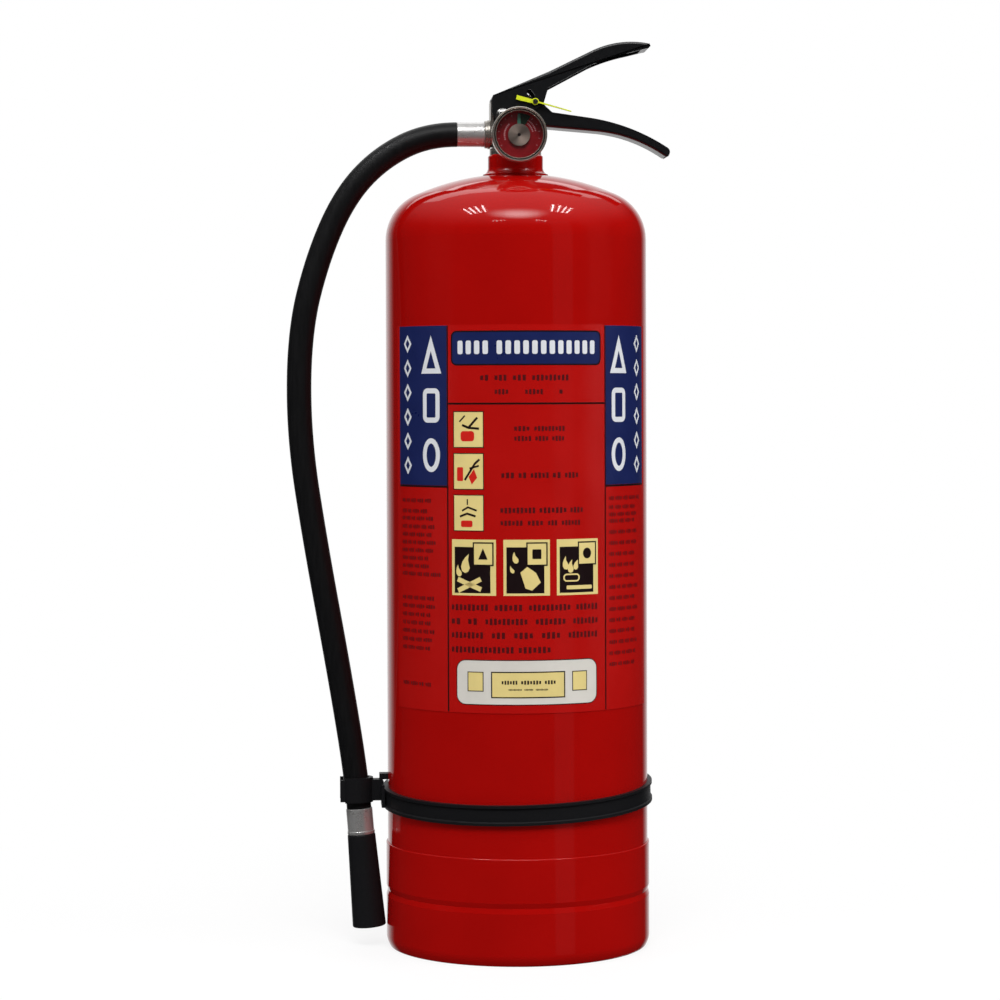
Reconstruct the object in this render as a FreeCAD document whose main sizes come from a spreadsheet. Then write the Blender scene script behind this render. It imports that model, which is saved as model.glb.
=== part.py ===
"""Stored-pressure dry-powder fire extinguisher, 180 mm diameter and about 624 mm tall.

FreeCAD 1.1 macro in millimetres.  +Z is up and the origin is the centre of the foot's base.
-Y is the front, with the gauge and the label; the two handles reach out along +X and the
discharge hose comes down along -X.
"""

import FreeCAD, Part
import math
import os
import re
import Sketcher

Vector = FreeCAD.Vector
Rotation = FreeCAD.Rotation
AXIS_X = Vector(1, 0, 0)
AXIS_Y = Vector(0, 1, 0)
AXIS_Z = Vector(0, 0, 1)
TO_FRONT = (AXIS_X, 90)    # turns a piece's own Z axis to -Y
TO_HOSE = (AXIS_Y, -90)    # turns a piece's own Z axis to -X

# The driving dimensions, in millimetres and degrees.
SIZES = {
    # steel cylinder
    "body_radius": 90.0,
    "body_wall": 1.6,
    "shoulder_height": 486.8,
    "shoulder_radius": 34.0,
    "crown_radius": 172.0,
    "head_height": 58.0,
    "head_corner_radius": 25.0,
    "head_crown_radius": 130.0,
    "foot_height": 72.0,
    "foot_wall": 1.1,
    "foot_groove_height": 39.0,
    "foot_groove_depth": 0.9,
    # neck
    "neck_radius": 19.0,
    "neck_bore": 15.0,
    "neck_top": 545.5,
    "neck_bottom": 524.0,
    "weld_radius": 22.6,
    "oring_wire": 0.98,
    # label and powder
    "label_bottom": 169.0,
    "label_top": 427.0,
    "label_gap": 0.05,
    "label_thickness": 0.25,
    "label_arc": 136.8,
    "label_turn": 1.3,
    "powder_top": 455.0,
    "powder_gap": 0.4,
    # dip tube
    "dip_tube_radius": 7.9,
    "dip_tube_bore": 6.5,
    "dip_tube_foot": 20.0,
    # valve body
    "valve_flange_radius": 17.8,
    "valve_flange_top": 550.0,
    "valve_radius": 16.0,
    "valve_shoulder": 563.0,
    "valve_top": 582.0,
    "block_half_width": 9.0,
    "block_rear": 17.6,
    "block_front": 9.0,
    "chamber_radius": 8.0,
    "seat_height": 552.0,
    "outlet_chamber_radius": 5.0,
    "outlet_chamber_top": 566.0,
    "gland_height": 576.0,
    "gland_radius": 4.6,
    "gland_nut_bottom": 579.0,
    "port_radius": 1.5,
    "port_setback": 11.5,
    # valve stem and spring
    "stem_radius": 2.5,
    "stem_clearance": 0.05,
    "stem_top": 589.9,
    "stem_head_radius": 7.0,
    "stem_head_thickness": 3.0,
    "stem_tail_radius": 2.0,
    "stem_tail_bottom": 534.0,
    "seat_washer_radius": 6.8,
    "seat_washer_thickness": 3.0,
    "retainer_bottom": 526.0,
    "retainer_top": 530.0,
    "retainer_hole": 3.5,
    "spring_radius": 5.0,
    "spring_wire": 0.7,
    "spring_turns": 5.0,
    # levers
    "sheet": 2.0,
    "cheek_gap": 0.3,
    "pivot_x": -9.5,
    "pivot_z": 572.0,
    "lever_travel": 18.0,
    "rivet_radius": 2.5,
    "rivet_clearance": 0.05,
    "rivet_head_radius": 4.8,
    "rivet_head_thickness": 2.1,
    "handle_rivet_x": 6.0,
    "handle_rivet_z": 571.0,
    "handle_rivet_radius": 1.5,
    # safety pin, ring and seal
    "pin_x": 12.9,
    "pin_z": 581.4,
    "pin_radius": 1.6,
    "pin_clearance": 0.05,
    "pin_slot_clearance": 0.3,
    "pin_near_end": 15.8,
    "pin_eye_reach": 18.0,
    "pin_eye_radius": 3.6,
    "pin_eye_thickness": 2.4,
    "pin_eye_hole": 1.3,
    "ring_radius": 11.5,
    "ring_wire": 0.9,
    "seal_thickness": 1.2,
    "seal_gap": 0.3,
    # gauge
    "gauge_z": 556.6,
    "gauge_boss_radius": 8.0,
    "gauge_boss_front": 22.0,
    "gauge_boss_depth": 7.0,
    "gauge_thread_radius": 4.0,
    "gauge_hex_radius": 6.9,
    "gauge_back": 27.0,
    "gauge_front": 43.5,
    "gauge_case_radius": 18.0,
    "gauge_wall": 1.0,
    "gauge_rim_radius": 18.8,
    "gauge_window_radius": 15.9,
    "dial_depth": 35.0,
    "dial_thickness": 0.6,
    "lens_depth": 40.0,
    "lens_thickness": 1.0,
    "spindle_radius": 0.95,
    "spindle_clearance": 0.05,
    "hub_radius": 7.5,
    "needle_length": 12.6,
    "needle_half_width": 0.8,
    # hose end at the valve
    "outlet_z": 559.8,
    "outlet_bore": 4.0,
    "outlet_radius": 9.0,
    "outlet_face": 17.6,
    "nut_radius": 10.0,
    "nut_end": 21.4,
    "tail_radius": 4.2,
    "tail_bore": 2.8,
    "ferrule_end": 40.6,
    "ferrule_radius": 8.4,
    "hose_radius": 8.5,
    "hose_joint_gap": 5.0,
    # lower hose end
    "end_ferrule_radius": 9.1,
    "end_ferrule_length": 18.0,
    "nozzle_length": 64.0,
    "nozzle_top_radius": 9.6,
    "nozzle_mouth_radius": 11.5,
    "nozzle_throat": 4.0,
    "nozzle_bore": 8.4,
    # strap and clip
    "strap_height": 105.5,
    "strap_inner": 90.02,
    "strap_outer": 92.2,
    "strap_rim": 93.2,
    "strap_half_width": 6.75,
    "clip_x": -111.1,
    "clip_bottom": 99.6,
    "clip_height": 17.0,
    "clip_clearance": 0.35,
    "clip_wall": 2.1,
    "clip_mouth": 119.6,
}

# The strap sits a little crooked on the body: its height gained per millimetre along X and Y.
STRAP_RISE_X = 0.0222
STRAP_RISE_Y = 0.0444

# The hose's route in the XZ plane, from the upper ferrule down to the lower one.
HOSE_ROUTE = [
    (-40.6, 559.8),
    (-66.5, 558.5),
    (-89.3, 550.9),
    (-111.0, 535.0),
    (-128.0, 511.5),
    (-140.6, 477.8),
    (-149.8, 424.0),
    (-150.3, 352.0),
    (-138.6, 275.0),
    (-123.3, 190.0),
    (-111.8, 118.0),
    (-109.9, 95.1),
]
ROUTE_ARC_SHARE = 0.45

# Outlines of the pressed-steel levers, measured from the lever's pivot.  A third number is the
# radius of the arc that leads to the next corner, negative where it bends to the right.
LEVER_OUTLINE = [
    (-7.5, 10.5, -3.4), (-5.0, 14.4), (32.7, 30.6), (61.5, 44.6, -63.1), (101.0, 49.8, -2.2),
    (99.1, 46.1), (87.5, 43.2, 130.0), (60.0, 34.2), (31.3, 18.9), (29.3, 12.1), (27.9, 7.5),
    (7.5, -4.7, -6.5), (-3.0, -5.0), (-5.6, -1.5), (-7.5, 2.0),
]
LEVER_HOLLOW = [
    (-12.0, 9.3), (33.5, 28.8), (62.4, 42.8, -61.1), (95.5, 48.6), (95.5, 20.0), (32.0, -12.0),
    (-12.0, -12.0),
]
HANDLE_OUTLINE = [
    (-6.0, 5.0), (-2.5, 8.5), (15.5, 8.5), (18.0, 13.0), (26.0, 13.0), (27.7, 9.0),
    (29.7, 6.5), (34.2, 2.4), (59.5, -1.2, -134.0), (114.2, -21.9, -3.6), (112.8, -28.2, 98.7),
    (64.8, -10.7), (31.3, -7.8), (24.0, -7.2), (-6.0, -7.2),
]
HANDLE_HOLLOW = [
    (-12.0, 20.0), (120.0, 20.0), (109.0, -23.3, 100.7), (65.0, -8.7), (27.5, -5.5),
    (27.5, -14.0), (-12.0, -14.0),
]

doc = FreeCAD.newDocument("fire_extinguisher")
sheet = doc.addObject("Spreadsheet::Sheet", "Size")
for line, (alias, value) in enumerate(SIZES.items(), start=1):
    sheet.set(f"A{line}", alias)
    sheet.set(f"B{line}", str(value))
    sheet.setAlias(f"B{line}", alias)
doc.recompute()

parts = {}


# ---------------------------------------------------------------- expressions and placement
def in_sheet(text):
    """The expression with each size's name pointing at its cell."""
    return re.sub(r"[a-z_]+", lambda m: "Size." + m[0] if m[0] in SIZES else m[0], str(text))


def number(text):
    """The value of an expression now."""
    return float(sheet.evalExpression(in_sheet(text)))


def bind(item, **sizes):
    """Bind properties of an object to expressions."""
    for name, text in sizes.items():
        item.setExpression(name, in_sheet(text))


def place(item, at=None, turn=None):
    """Turn an object, then bind the position of its own origin."""
    if turn:
        item.Placement = FreeCAD.Placement(Vector(), Rotation(*turn))
    for axis, text in zip("xyz", at or ()):
        item.setExpression(f"Placement.Base.{axis}", in_sheet(text))
    return item


def node(label, item):
    """Keep an object as the sub-part with this name."""
    item.Label = label
    parts[label] = item
    return item


def shaped(label, shape, at=None):
    """Keep a shape that the part modules made as a sub-part."""
    item = doc.addObject("Part::Feature", label)
    item.Shape = shape
    if at:
        item.Placement = at
    return node(label, item)


# ---------------------------------------------------------------- primitives and booleans
def cylinder(name, radius, height, at=None, turn=None):
    item = doc.addObject("Part::Cylinder", name)
    bind(item, Radius=radius, Height=height)
    return place(item, at, turn)


def box(name, size, at=None, turn=None):
    item = doc.addObject("Part::Box", name)
    bind(item, Length=size[0], Width=size[1], Height=size[2])
    return place(item, at, turn)


def torus(name, radius_1, radius_2, at=None, turn=None):
    item = doc.addObject("Part::Torus", name)
    bind(item, Radius1=radius_1, Radius2=radius_2)
    return place(item, at, turn)


def fuse(name, pieces):
    item = doc.addObject("Part::MultiFuse", name)
    item.Shapes = pieces
    item.Refine = True
    return item


def cut(name, base, *tools):
    item = doc.addObject("Part::Cut", name)
    item.Base = base
    item.Tool = tools[0] if len(tools) == 1 else fuse(name + "_tools", list(tools))
    item.Refine = True
    return item


def ring(name, outer, inner, height, at=None, turn=None):
    """A plain tube along its own Z axis."""
    body = cylinder(name + "_outer", outer, height, at, turn)
    bore = cylinder(name + "_bore", inner, height, at, turn)
    return cut(name, body, bore)


# ---------------------------------------------------------------- sketched bodies
def arc_between(start, end, radius):
    """An arc from start to end; a positive radius has its centre on the left of the way."""
    middle = (start + end) * 0.5
    way = end - start
    rise = math.sqrt(radius**2 - (way.Length / 2) ** 2)
    left = Vector(-way.y, way.x, 0).normalize()
    centre = middle + left * math.copysign(rise, radius)
    first, last = (start, end) if radius > 0 else (end, start)
    angles = [math.atan2(p.y - centre.y, p.x - centre.x) for p in (first, last)]
    circle = Part.Circle(centre, AXIS_Z, abs(radius))
    return Part.ArcOfCircle(circle, *angles)


def pin_corner(sketch, geometry, end, corner):
    """Hold one end of a line or arc at its corner's expressions."""
    for kind, axis, text in (("DistanceX", -2, corner[0]), ("DistanceY", -1, corner[1])):
        if abs(number(text)) < 1e-9:
            sketch.addConstraint(Sketcher.Constraint("PointOnObject", geometry, end, axis))
            continue
        rule = Sketcher.Constraint(kind, -1, 1, geometry, end, number(text))
        index = sketch.addConstraint(rule)
        sketch.setExpression(f"Constraints[{index}]", in_sheet(text))


def outline(body, name, corners):
    """A closed sketch on the body's XZ plane, held at its corners."""
    sketch = body.newObject("Sketcher::SketchObject", name)
    plane = next(f for f in body.Origin.OriginFeatures if f.Role == "XZ_Plane")
    sketch.AttachmentSupport = [(plane, "")]
    sketch.MapMode = "FlatFace"
    points = [Vector(number(c[0]), number(c[1]), 0) for c in corners]
    ends = []
    for i, corner in enumerate(corners):
        start, end = points[i], points[(i + 1) % len(points)]
        if len(corner) == 3:
            geometry = sketch.addGeometry(arc_between(start, end, number(corner[2])))
            ends.append((1, 2) if number(corner[2]) > 0 else (2, 1))
            size = Sketcher.Constraint("Radius", geometry, abs(number(corner[2])))
            index = sketch.addConstraint(size)
            sketch.setExpression(f"Constraints[{index}]", in_sheet(f"abs({corner[2]})"))
        else:
            sketch.addGeometry(Part.LineSegment(start, end))
            ends.append((1, 2))
    for i, corner in enumerate(corners):
        pin_corner(sketch, i, ends[i][0], corner)
        before = (i - 1) % len(corners)
        meet = Sketcher.Constraint("Coincident", before, ends[before][1], i, ends[i][0])
        sketch.addConstraint(meet)
    return sketch


def turned(name, corners, at=None, turn=None):
    """A body turned about its own Z axis from (radius, height) corners."""
    body = doc.addObject("PartDesign::Body", name)
    sketch = outline(body, name + "_profile", corners)
    spin = body.newObject("PartDesign::Revolution", name + "_turned")
    spin.Profile = sketch
    spin.ReferenceAxis = (sketch, ["V_Axis"])
    spin.Angle = 360
    sketch.Visibility = False
    return place(body, at, turn)


def pressed(name, corners, width, hollow, hollow_width):
    """A channel pressed from sheet: a side outline, and the space between its two cheeks."""
    body = doc.addObject("PartDesign::Body", name)
    pad = body.newObject("PartDesign::Pad", name + "_pad")
    pad.Profile = outline(body, name + "_side", corners)
    pad.Midplane = True
    bind(pad, Length=width)
    pocket = body.newObject("PartDesign::Pocket", name + "_hollow")
    pocket.Profile = outline(body, name + "_space", hollow)
    pocket.Midplane = True
    bind(pocket, Length=hollow_width)
    return body


def from_pivot(points):
    """Outline corners given from the lever's pivot, as expressions."""
    return [(f"pivot_x + {p[0]}", f"pivot_z + {p[1]}", *p[2:]) for p in points]


# ---------------------------------------------------------------- steel cylinder
def crown_centre(corner, crown, tangent_height, side):
    """Height of a dished end's crown centre, as an expression; side is +1 up or -1 down."""
    reach = f"sqrt(({crown} - {corner})^2 - (body_radius - {corner})^2)"
    return f"({tangent_height} - ({side}) * {reach})"


def dish_point(corner, crown, tangent_height, side, offset):
    """Where the corner arc meets the crown, on a skin that lies offset inside the outside."""
    centre = crown_centre(corner, crown, tangent_height, side)
    share = f"(({crown} - ({offset})) / ({crown} - {corner}))"
    radius = f"(body_radius - {corner}) * {share}"
    height = f"({centre} + ({tangent_height} - {centre}) * {share})"
    return radius, height, centre


def crown_height(corner, crown, tangent_height, side, offset, radius):
    """Height of the crown's skin above a radius."""
    centre = crown_centre(corner, crown, tangent_height, side)
    return f"({centre} + ({side}) * sqrt(({crown} - ({offset}))^2 - ({radius})^2))"


TOP = ("shoulder_radius", "crown_radius", "shoulder_height", 1)
BOTTOM = ("head_corner_radius", "head_crown_radius", "head_height", -1)


def make_cylinder_shell():
    outer_r, outer_z, _ = dish_point(*TOP, "0")
    inner_r, inner_z, _ = dish_point(*TOP, "body_wall")
    return turned("cylinder_shell", [
        ("body_radius", "head_height"),
        ("body_radius", "shoulder_height", "shoulder_radius"),
        (outer_r, outer_z, "crown_radius"),
        ("neck_radius", crown_height(*TOP, "0", "neck_radius")),
        ("neck_radius", crown_height(*TOP, "body_wall", "neck_radius"),
         "-(crown_radius - body_wall)"),
        (inner_r, inner_z, "-(shoulder_radius - body_wall)"),
        ("body_radius - body_wall", "shoulder_height"),
        ("body_radius - body_wall", "head_height"),
    ])


def make_bottom_head():
    outer_r, outer_z, _ = dish_point(*BOTTOM, "0")
    inner_r, inner_z, _ = dish_point(*BOTTOM, "body_wall")
    return turned("bottom_head", [
        ("body_radius", "head_height", "-head_corner_radius"),
        (outer_r, outer_z, "-head_crown_radius"),
        ("0", crown_height(*BOTTOM, "0", "0")),
        ("0", crown_height(*BOTTOM, "body_wall", "0"), "head_crown_radius - body_wall"),
        (inner_r, inner_z, "head_corner_radius - body_wall"),
        ("body_radius - body_wall", "head_height"),
    ])


def make_foot_ring():
    """Rolled steel foot with a groove round its middle and a turned-in base edge."""
    outside = "(body_radius + foot_wall)"
    groove = f"({outside} - foot_groove_depth)"
    return turned("foot_ring", [
        ("body_radius", "foot_height"),
        (f"{outside} - 0.7", "foot_height", -0.7),
        (outside, "foot_height - 0.7"),
        (outside, "foot_groove_height + 3.5"),
        (groove, "foot_groove_height"),
        (outside, "foot_groove_height - 3.5"),
        (outside, "9", -14),
        (f"{outside} - 1.8", "1.2", -1.8),
        (f"{outside} - 3.3", "0"),
        (f"{outside} - 4.6", "0"),
        (f"{outside} - 4.6", "1.6"),
        (f"{outside} - 2.2", "9"),
        (f"{outside} - 2.2", "foot_groove_height - 4"),
        (f"{groove} - 2.2", "foot_groove_height"),
        (f"{outside} - 2.2", "foot_groove_height + 4"),
        (f"{outside} - 2.2", "head_height - 10"),
        ("body_radius", "head_height - 4"),
    ])


def make_neck_ring():
    """Threaded neck with the weld fillet at its foot and a recess for the o-ring."""
    weld_foot = crown_height(*TOP, "-0.02", "weld_radius")
    neck_foot = crown_height(*TOP, "-0.02", "neck_radius")
    return turned("neck_ring", [
        ("neck_bore", "neck_bottom"),
        ("neck_radius", "neck_bottom"),
        ("neck_radius", neck_foot, "-crown_radius"),
        ("weld_radius", weld_foot),
        ("weld_radius", f"{weld_foot} + 0.9", -5),
        ("neck_radius", f"{neck_foot} + 5"),
        ("neck_radius", "neck_top - 1"),
        ("neck_radius - 1", "neck_top"),
        ("neck_bore + 2.05", "neck_top"),
        ("neck_bore + 2.05", "neck_top - 2.2"),
        ("neck_bore", "neck_top - 2.2"),
    ])


def make_label():
    """Printed wrap round the front, a hair off the steel."""
    inner = "(body_radius + label_gap)"
    height = "(label_top - label_bottom)"
    start = -90 - number("label_arc") / 2 + number("label_turn")
    turn = (AXIS_Z, start)
    outer = cylinder("label_sector", f"{inner} + label_thickness", height,
                     ("0", "0", "label_bottom"), turn)
    bind(outer, Angle="label_arc")
    bore = cylinder("label_bore", inner, height, ("0", "0", "label_bottom"))
    return cut("label", outer, bore)


def make_powder():
    """The powder as one solid, filling the cylinder to its charge line round the dip tube."""
    skin = "(body_wall + powder_gap)"
    skin_r, skin_z, _ = dish_point(*BOTTOM, skin)
    hole = "(dip_tube_radius + powder_gap)"
    return turned("powder_charge", [
        (f"body_radius - {skin}", "powder_top"),
        (f"body_radius - {skin}", "head_height", f"-(head_corner_radius - {skin})"),
        (skin_r, skin_z, f"-(head_crown_radius - {skin})"),
        (hole, crown_height(*BOTTOM, skin, hole)),
        (hole, "powder_top"),
    ])


# ---------------------------------------------------------------- valve
def make_valve_body():
    """Plated brass valve: threaded plug, round body, flat top block, gauge and hose bosses."""
    solid = fuse("valve_solid", [
        cylinder("valve_plug", "neck_bore", "neck_top - neck_bottom", ("0", "0", "neck_bottom")),
        cylinder("valve_flange", "valve_flange_radius", "valve_flange_top - neck_top",
                 ("0", "0", "neck_top")),
        cylinder("valve_drum", "valve_radius", "valve_shoulder - valve_flange_top",
                 ("0", "0", "valve_flange_top")),
        box("valve_block",
            ("block_rear + block_front", "2 * block_half_width", "valve_top - valve_shoulder + 3"),
            ("-block_rear", "-block_half_width", "valve_shoulder - 3")),
        cylinder("gauge_boss", "gauge_boss_radius", "gauge_boss_front - 10",
                 ("0", "-10", "gauge_z"), TO_FRONT),
        cylinder("hose_boss", "outlet_radius", "outlet_face - 10",
                 ("-10", "0", "outlet_z"), TO_HOSE),
    ])
    holes = [
        cylinder("chamber", "chamber_radius", "seat_height - neck_bottom",
                 ("0", "0", "neck_bottom")),
        cylinder("outlet_chamber", "outlet_chamber_radius", "outlet_chamber_top - seat_height",
                 ("0", "0", "seat_height")),
        cylinder("stem_bore", "stem_radius + stem_clearance", "valve_top - outlet_chamber_top",
                 ("0", "0", "outlet_chamber_top")),
        cylinder("gland_bore", "gland_radius", "valve_top - gland_height",
                 ("0", "0", "gland_height")),
        cylinder("outlet_hole", "outlet_bore", "outlet_face", ("0", "0", "outlet_z"), TO_HOSE),
        cylinder("gauge_port", "port_radius", "gauge_boss_front - port_setback",
                 ("0", "-port_setback", "gauge_z"), TO_FRONT),
        cylinder("gauge_riser", "port_radius", "gauge_z - neck_bottom",
                 ("0", "-port_setback", "neck_bottom")),
        cylinder("gauge_thread", "gauge_thread_radius", "gauge_boss_depth",
                 ("0", "gauge_boss_depth - gauge_boss_front", "gauge_z"), TO_FRONT),
        cylinder("pivot_hole", "rivet_radius", "2 * block_half_width",
                 ("pivot_x", "block_half_width", "pivot_z"), TO_FRONT),
        cylinder("handle_hole", "handle_rivet_radius", "2 * block_half_width",
                 ("handle_rivet_x", "block_half_width", "handle_rivet_z"), TO_FRONT),
    ]
    return cut("valve_body", solid, *holes)


def make_valve_stem():
    """Push rod with a domed top, a head that carries the seat washer, and a spring guide."""
    washer = "seat_height - seat_washer_thickness"
    head = f"{washer} - stem_head_thickness"
    return turned("valve_stem", [
        ("0", "stem_tail_bottom"),
        ("stem_tail_radius", "stem_tail_bottom"),
        ("stem_tail_radius", head),
        ("stem_head_radius", head),
        ("stem_head_radius", washer),
        ("stem_radius", washer),
        ("stem_radius", "stem_top - stem_radius", "stem_radius"),
        ("0", "stem_top"),
    ])


def make_valve_spring():
    """Compression spring between the retainer and the stem's head."""
    foot = number("retainer_top + spring_wire + 0.02")
    head = number("seat_height - seat_washer_thickness - stem_head_thickness - spring_wire - 0.02")
    radius = number("spring_radius")
    helix = Part.makeHelix((head - foot) / number("spring_turns"), head - foot, radius)
    wire = Part.Wire(helix.Edges)
    section = Part.Circle(Vector(radius, 0, 0), AXIS_Y, number("spring_wire")).toShape()
    coil = wire.makePipeShell([Part.Wire(section)], True, True)
    return shaped("valve_spring", coil, FreeCAD.Placement(Vector(0, 0, foot), Rotation()))


# ---------------------------------------------------------------- levers
def make_squeeze_lever():
    """Upper lever: an inverted channel that turns on the pivot rivet.

    The safety pin crosses its cheeks in a slot curved about the pivot.
    """
    half = "(block_half_width + sheet + cheek_gap + sheet)"
    inside = "(block_half_width + sheet + cheek_gap)"
    channel = pressed("lever_channel", from_pivot(LEVER_OUTLINE), f"2 * {half}",
                      from_pivot(LEVER_HOLLOW), f"2 * {inside}")
    across = ("pivot_x", half, "pivot_z")
    reach_x = number("pin_x - pivot_x")
    reach_z = number("pin_z - pivot_z")
    reach = math.hypot(reach_x, reach_z)
    slant = math.degrees(math.atan2(reach_z, reach_x))
    slot_half = "(pin_radius + pin_slot_clearance)"
    sector = cylinder("slot_sector", f"{reach} + {slot_half}", f"2 * {half}", across)
    # the sector opens from the pin's place upwards, as the lever comes down past the pin
    bind(sector, Angle="lever_travel")
    lay_down = Rotation(AXIS_X, 90)
    sector.Placement.Rotation = lay_down * Rotation(AXIS_Z, slant)
    core = cylinder("slot_core", f"{reach} - {slot_half}", f"2 * {half}", across, TO_FRONT)
    ends = []
    for i, angle in enumerate((slant, slant + number("lever_travel"))):
        turn = math.radians(angle)
        at = (f"pivot_x + {reach * math.cos(turn)}", half,
              f"pivot_z + {reach * math.sin(turn)}")
        ends.append(cylinder(f"slot_end_{i}", slot_half, f"2 * {half}", at, TO_FRONT))
    slot = cut("slot_arc", sector, core)
    hole = cylinder("lever_hole", "rivet_radius + rivet_clearance", f"2 * {half}", across,
                    TO_FRONT)
    return cut("squeeze_lever", channel, slot, hole, *ends)


def make_carry_handle():
    """Lower handle: an open-topped channel whose cheeks clasp the valve block."""
    half = "(block_half_width + sheet)"
    channel = pressed("handle_channel", from_pivot(HANDLE_OUTLINE), f"2 * {half}",
                      from_pivot(HANDLE_HOLLOW), "2 * block_half_width")
    holes = [
        cylinder("handle_pivot_hole", "rivet_radius", f"2 * {half}",
                 ("pivot_x", half, "pivot_z"), TO_FRONT),
        cylinder("handle_rivet_hole", "handle_rivet_radius", f"2 * {half}",
                 ("handle_rivet_x", half, "handle_rivet_z"), TO_FRONT),
        cylinder("handle_pin_hole", "pin_radius + pin_clearance", f"2 * {half}",
                 ("pin_x", half, "pin_z"), TO_FRONT),
    ]
    return cut("carry_handle", channel, *holes)


def make_pivot_rivet():
    """Rivet with a domed head outside each cheek of the lever."""
    face = "(block_half_width + 2 * sheet + cheek_gap + 0.1)"
    dome = f"{face} + rivet_head_thickness"
    return turned("pivot_rivet", [
        ("0", f"-({dome})"),
        ("rivet_head_radius * 0.45", f"-({dome})", 4.0),
        ("rivet_head_radius", f"-({face} + 0.5)"),
        ("rivet_head_radius", f"-{face}"),
        ("rivet_radius", f"-{face}"),
        ("rivet_radius", face),
        ("rivet_head_radius", face),
        ("rivet_head_radius", f"{face} + 0.5", 4.0),
        ("rivet_head_radius * 0.45", dome),
        ("0", dome),
    ], ("pivot_x", "0", "pivot_z"), TO_FRONT)


# ---------------------------------------------------------------- safety pin, ring and seal
def make_safety_pin():
    """Straight pin across both levers, with a flat eye behind them for the pull ring."""
    shaft = cylinder("pin_shaft", "pin_radius", "pin_near_end + pin_eye_reach - 1.5",
                     ("pin_x", "pin_eye_reach - 1.5", "pin_z"), TO_FRONT)
    eye = cylinder("pin_eye", "pin_eye_radius", "pin_eye_thickness",
                   ("pin_x", "pin_eye_reach", "pin_z - pin_eye_thickness / 2"))
    hole = cylinder("pin_eye_hole_tool", "pin_eye_hole", "2 * pin_eye_radius",
                    ("pin_x", "pin_eye_reach", "pin_z - pin_eye_radius"))
    shaft_end = fuse("pin_solid", [shaft, eye])
    return cut("safety_pin", shaft_end, hole)


def make_pull_ring():
    """Wire ring standing out behind the pin's eye, hinged in it about the vertical."""
    return torus("pull_ring", "ring_radius", "ring_wire",
                 ("pin_x", "pin_eye_reach + ring_radius", "pin_z"), (AXIS_Y, 90))


def make_tamper_seal():
    """Plastic seal on the near end of the pin: a flat tag, an eye and a thin tail."""
    half = "(block_half_width + 2 * sheet + cheek_gap + seal_gap + seal_thickness / 2)"
    body = doc.addObject("PartDesign::Body", "seal_strip")
    pad = body.newObject("PartDesign::Pad", "seal_strip_pad")
    pad.Profile = outline(body, "seal_side", [
        ("pin_x + 0.5", "pin_z + 1.0"), ("pin_x - 2.5", "pin_z + 1.6"),
        ("pin_x - 12.8", "pin_z + 4.4"), ("pin_x - 13.4", "pin_z + 1.4"),
        ("pin_x - 2.8", "pin_z - 1.1"), ("pin_x + 1.6", "pin_z - 0.9"),
        ("pin_x + 24.6", "pin_z - 7.1"), ("pin_x + 24.8", "pin_z - 6.4"),
        ("pin_x + 1.8", "pin_z + 0.2"),
    ])
    pad.Midplane = True
    bind(pad, Length="seal_thickness")
    body.setExpression("Placement.Base.y", in_sheet(f"-{half}"))
    at = ("pin_x", f"seal_thickness / 2 - {half}", "pin_z")
    eye = cylinder("seal_eye", "pin_radius + 0.8", "seal_thickness", at, TO_FRONT)
    hole = cylinder("seal_hole", "pin_radius + 0.2", "seal_thickness", at, TO_FRONT)
    return cut("tamper_seal", fuse("seal_solid", [body, eye]), hole)


# ---------------------------------------------------------------- gauge
GAUGE = ("0", "0", "gauge_z")


def make_gauge_stem():
    """Threaded shank and hexagon of the gauge."""
    shank = cylinder("gauge_shank", "gauge_thread_radius", "gauge_boss_depth + 1",
                     ("0", "gauge_boss_depth - gauge_boss_front", "gauge_z"), TO_FRONT)
    hexagon = doc.addObject("Part::Prism", "gauge_hexagon")
    hexagon.Polygon = 6
    bind(hexagon, Circumradius="gauge_hex_radius", Height="gauge_back - gauge_boss_front")
    place(hexagon, ("0", "-gauge_boss_front", "gauge_z"), TO_FRONT)
    passage = cylinder("gauge_passage", "port_radius", "gauge_back",
                       ("0", "0", "gauge_z"), TO_FRONT)
    return cut("gauge_stem", fuse("gauge_stem_solid", [shank, hexagon]), passage)


def make_gauge_case():
    return turned("gauge_case", [
        ("port_radius", "gauge_back"),
        ("gauge_case_radius - 1", "gauge_back"),
        ("gauge_case_radius", "gauge_back + 1"),
        ("gauge_case_radius", "lens_depth + lens_thickness"),
        ("gauge_case_radius - gauge_wall", "lens_depth + lens_thickness"),
        ("gauge_case_radius - gauge_wall", "gauge_back + gauge_wall"),
        ("port_radius", "gauge_back + gauge_wall"),
    ], GAUGE, TO_FRONT)


def make_gauge_bezel():
    """Crimped rim: a rounded outer ring and a lower inner ring over the lens."""
    seat = "lens_depth + lens_thickness"
    return turned("gauge_bezel", [
        ("gauge_case_radius", "dial_depth"),
        ("gauge_rim_radius", "dial_depth"),
        ("gauge_rim_radius", "gauge_front - 1.2", 1.2),
        ("gauge_rim_radius - 1.2", "gauge_front"),
        ("gauge_rim_radius - 1.5", "gauge_front", 0.8),
        ("gauge_rim_radius - 2.1", "gauge_front - 0.9"),
        ("gauge_window_radius + 0.4", "gauge_front - 1.1"),
        ("gauge_window_radius", f"{seat} + 0.6"),
        ("gauge_window_radius", seat),
        ("gauge_case_radius", seat),
    ], GAUGE, TO_FRONT)


def make_gauge_coil():
    """Bourdon tube: three quarters of a turn, from the stem's passage to the spindle."""
    coil = torus("gauge_coil", "10", "1.4", ("0", "-31", "gauge_z"), TO_FRONT)
    coil.Angle3 = 270
    return coil


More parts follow.
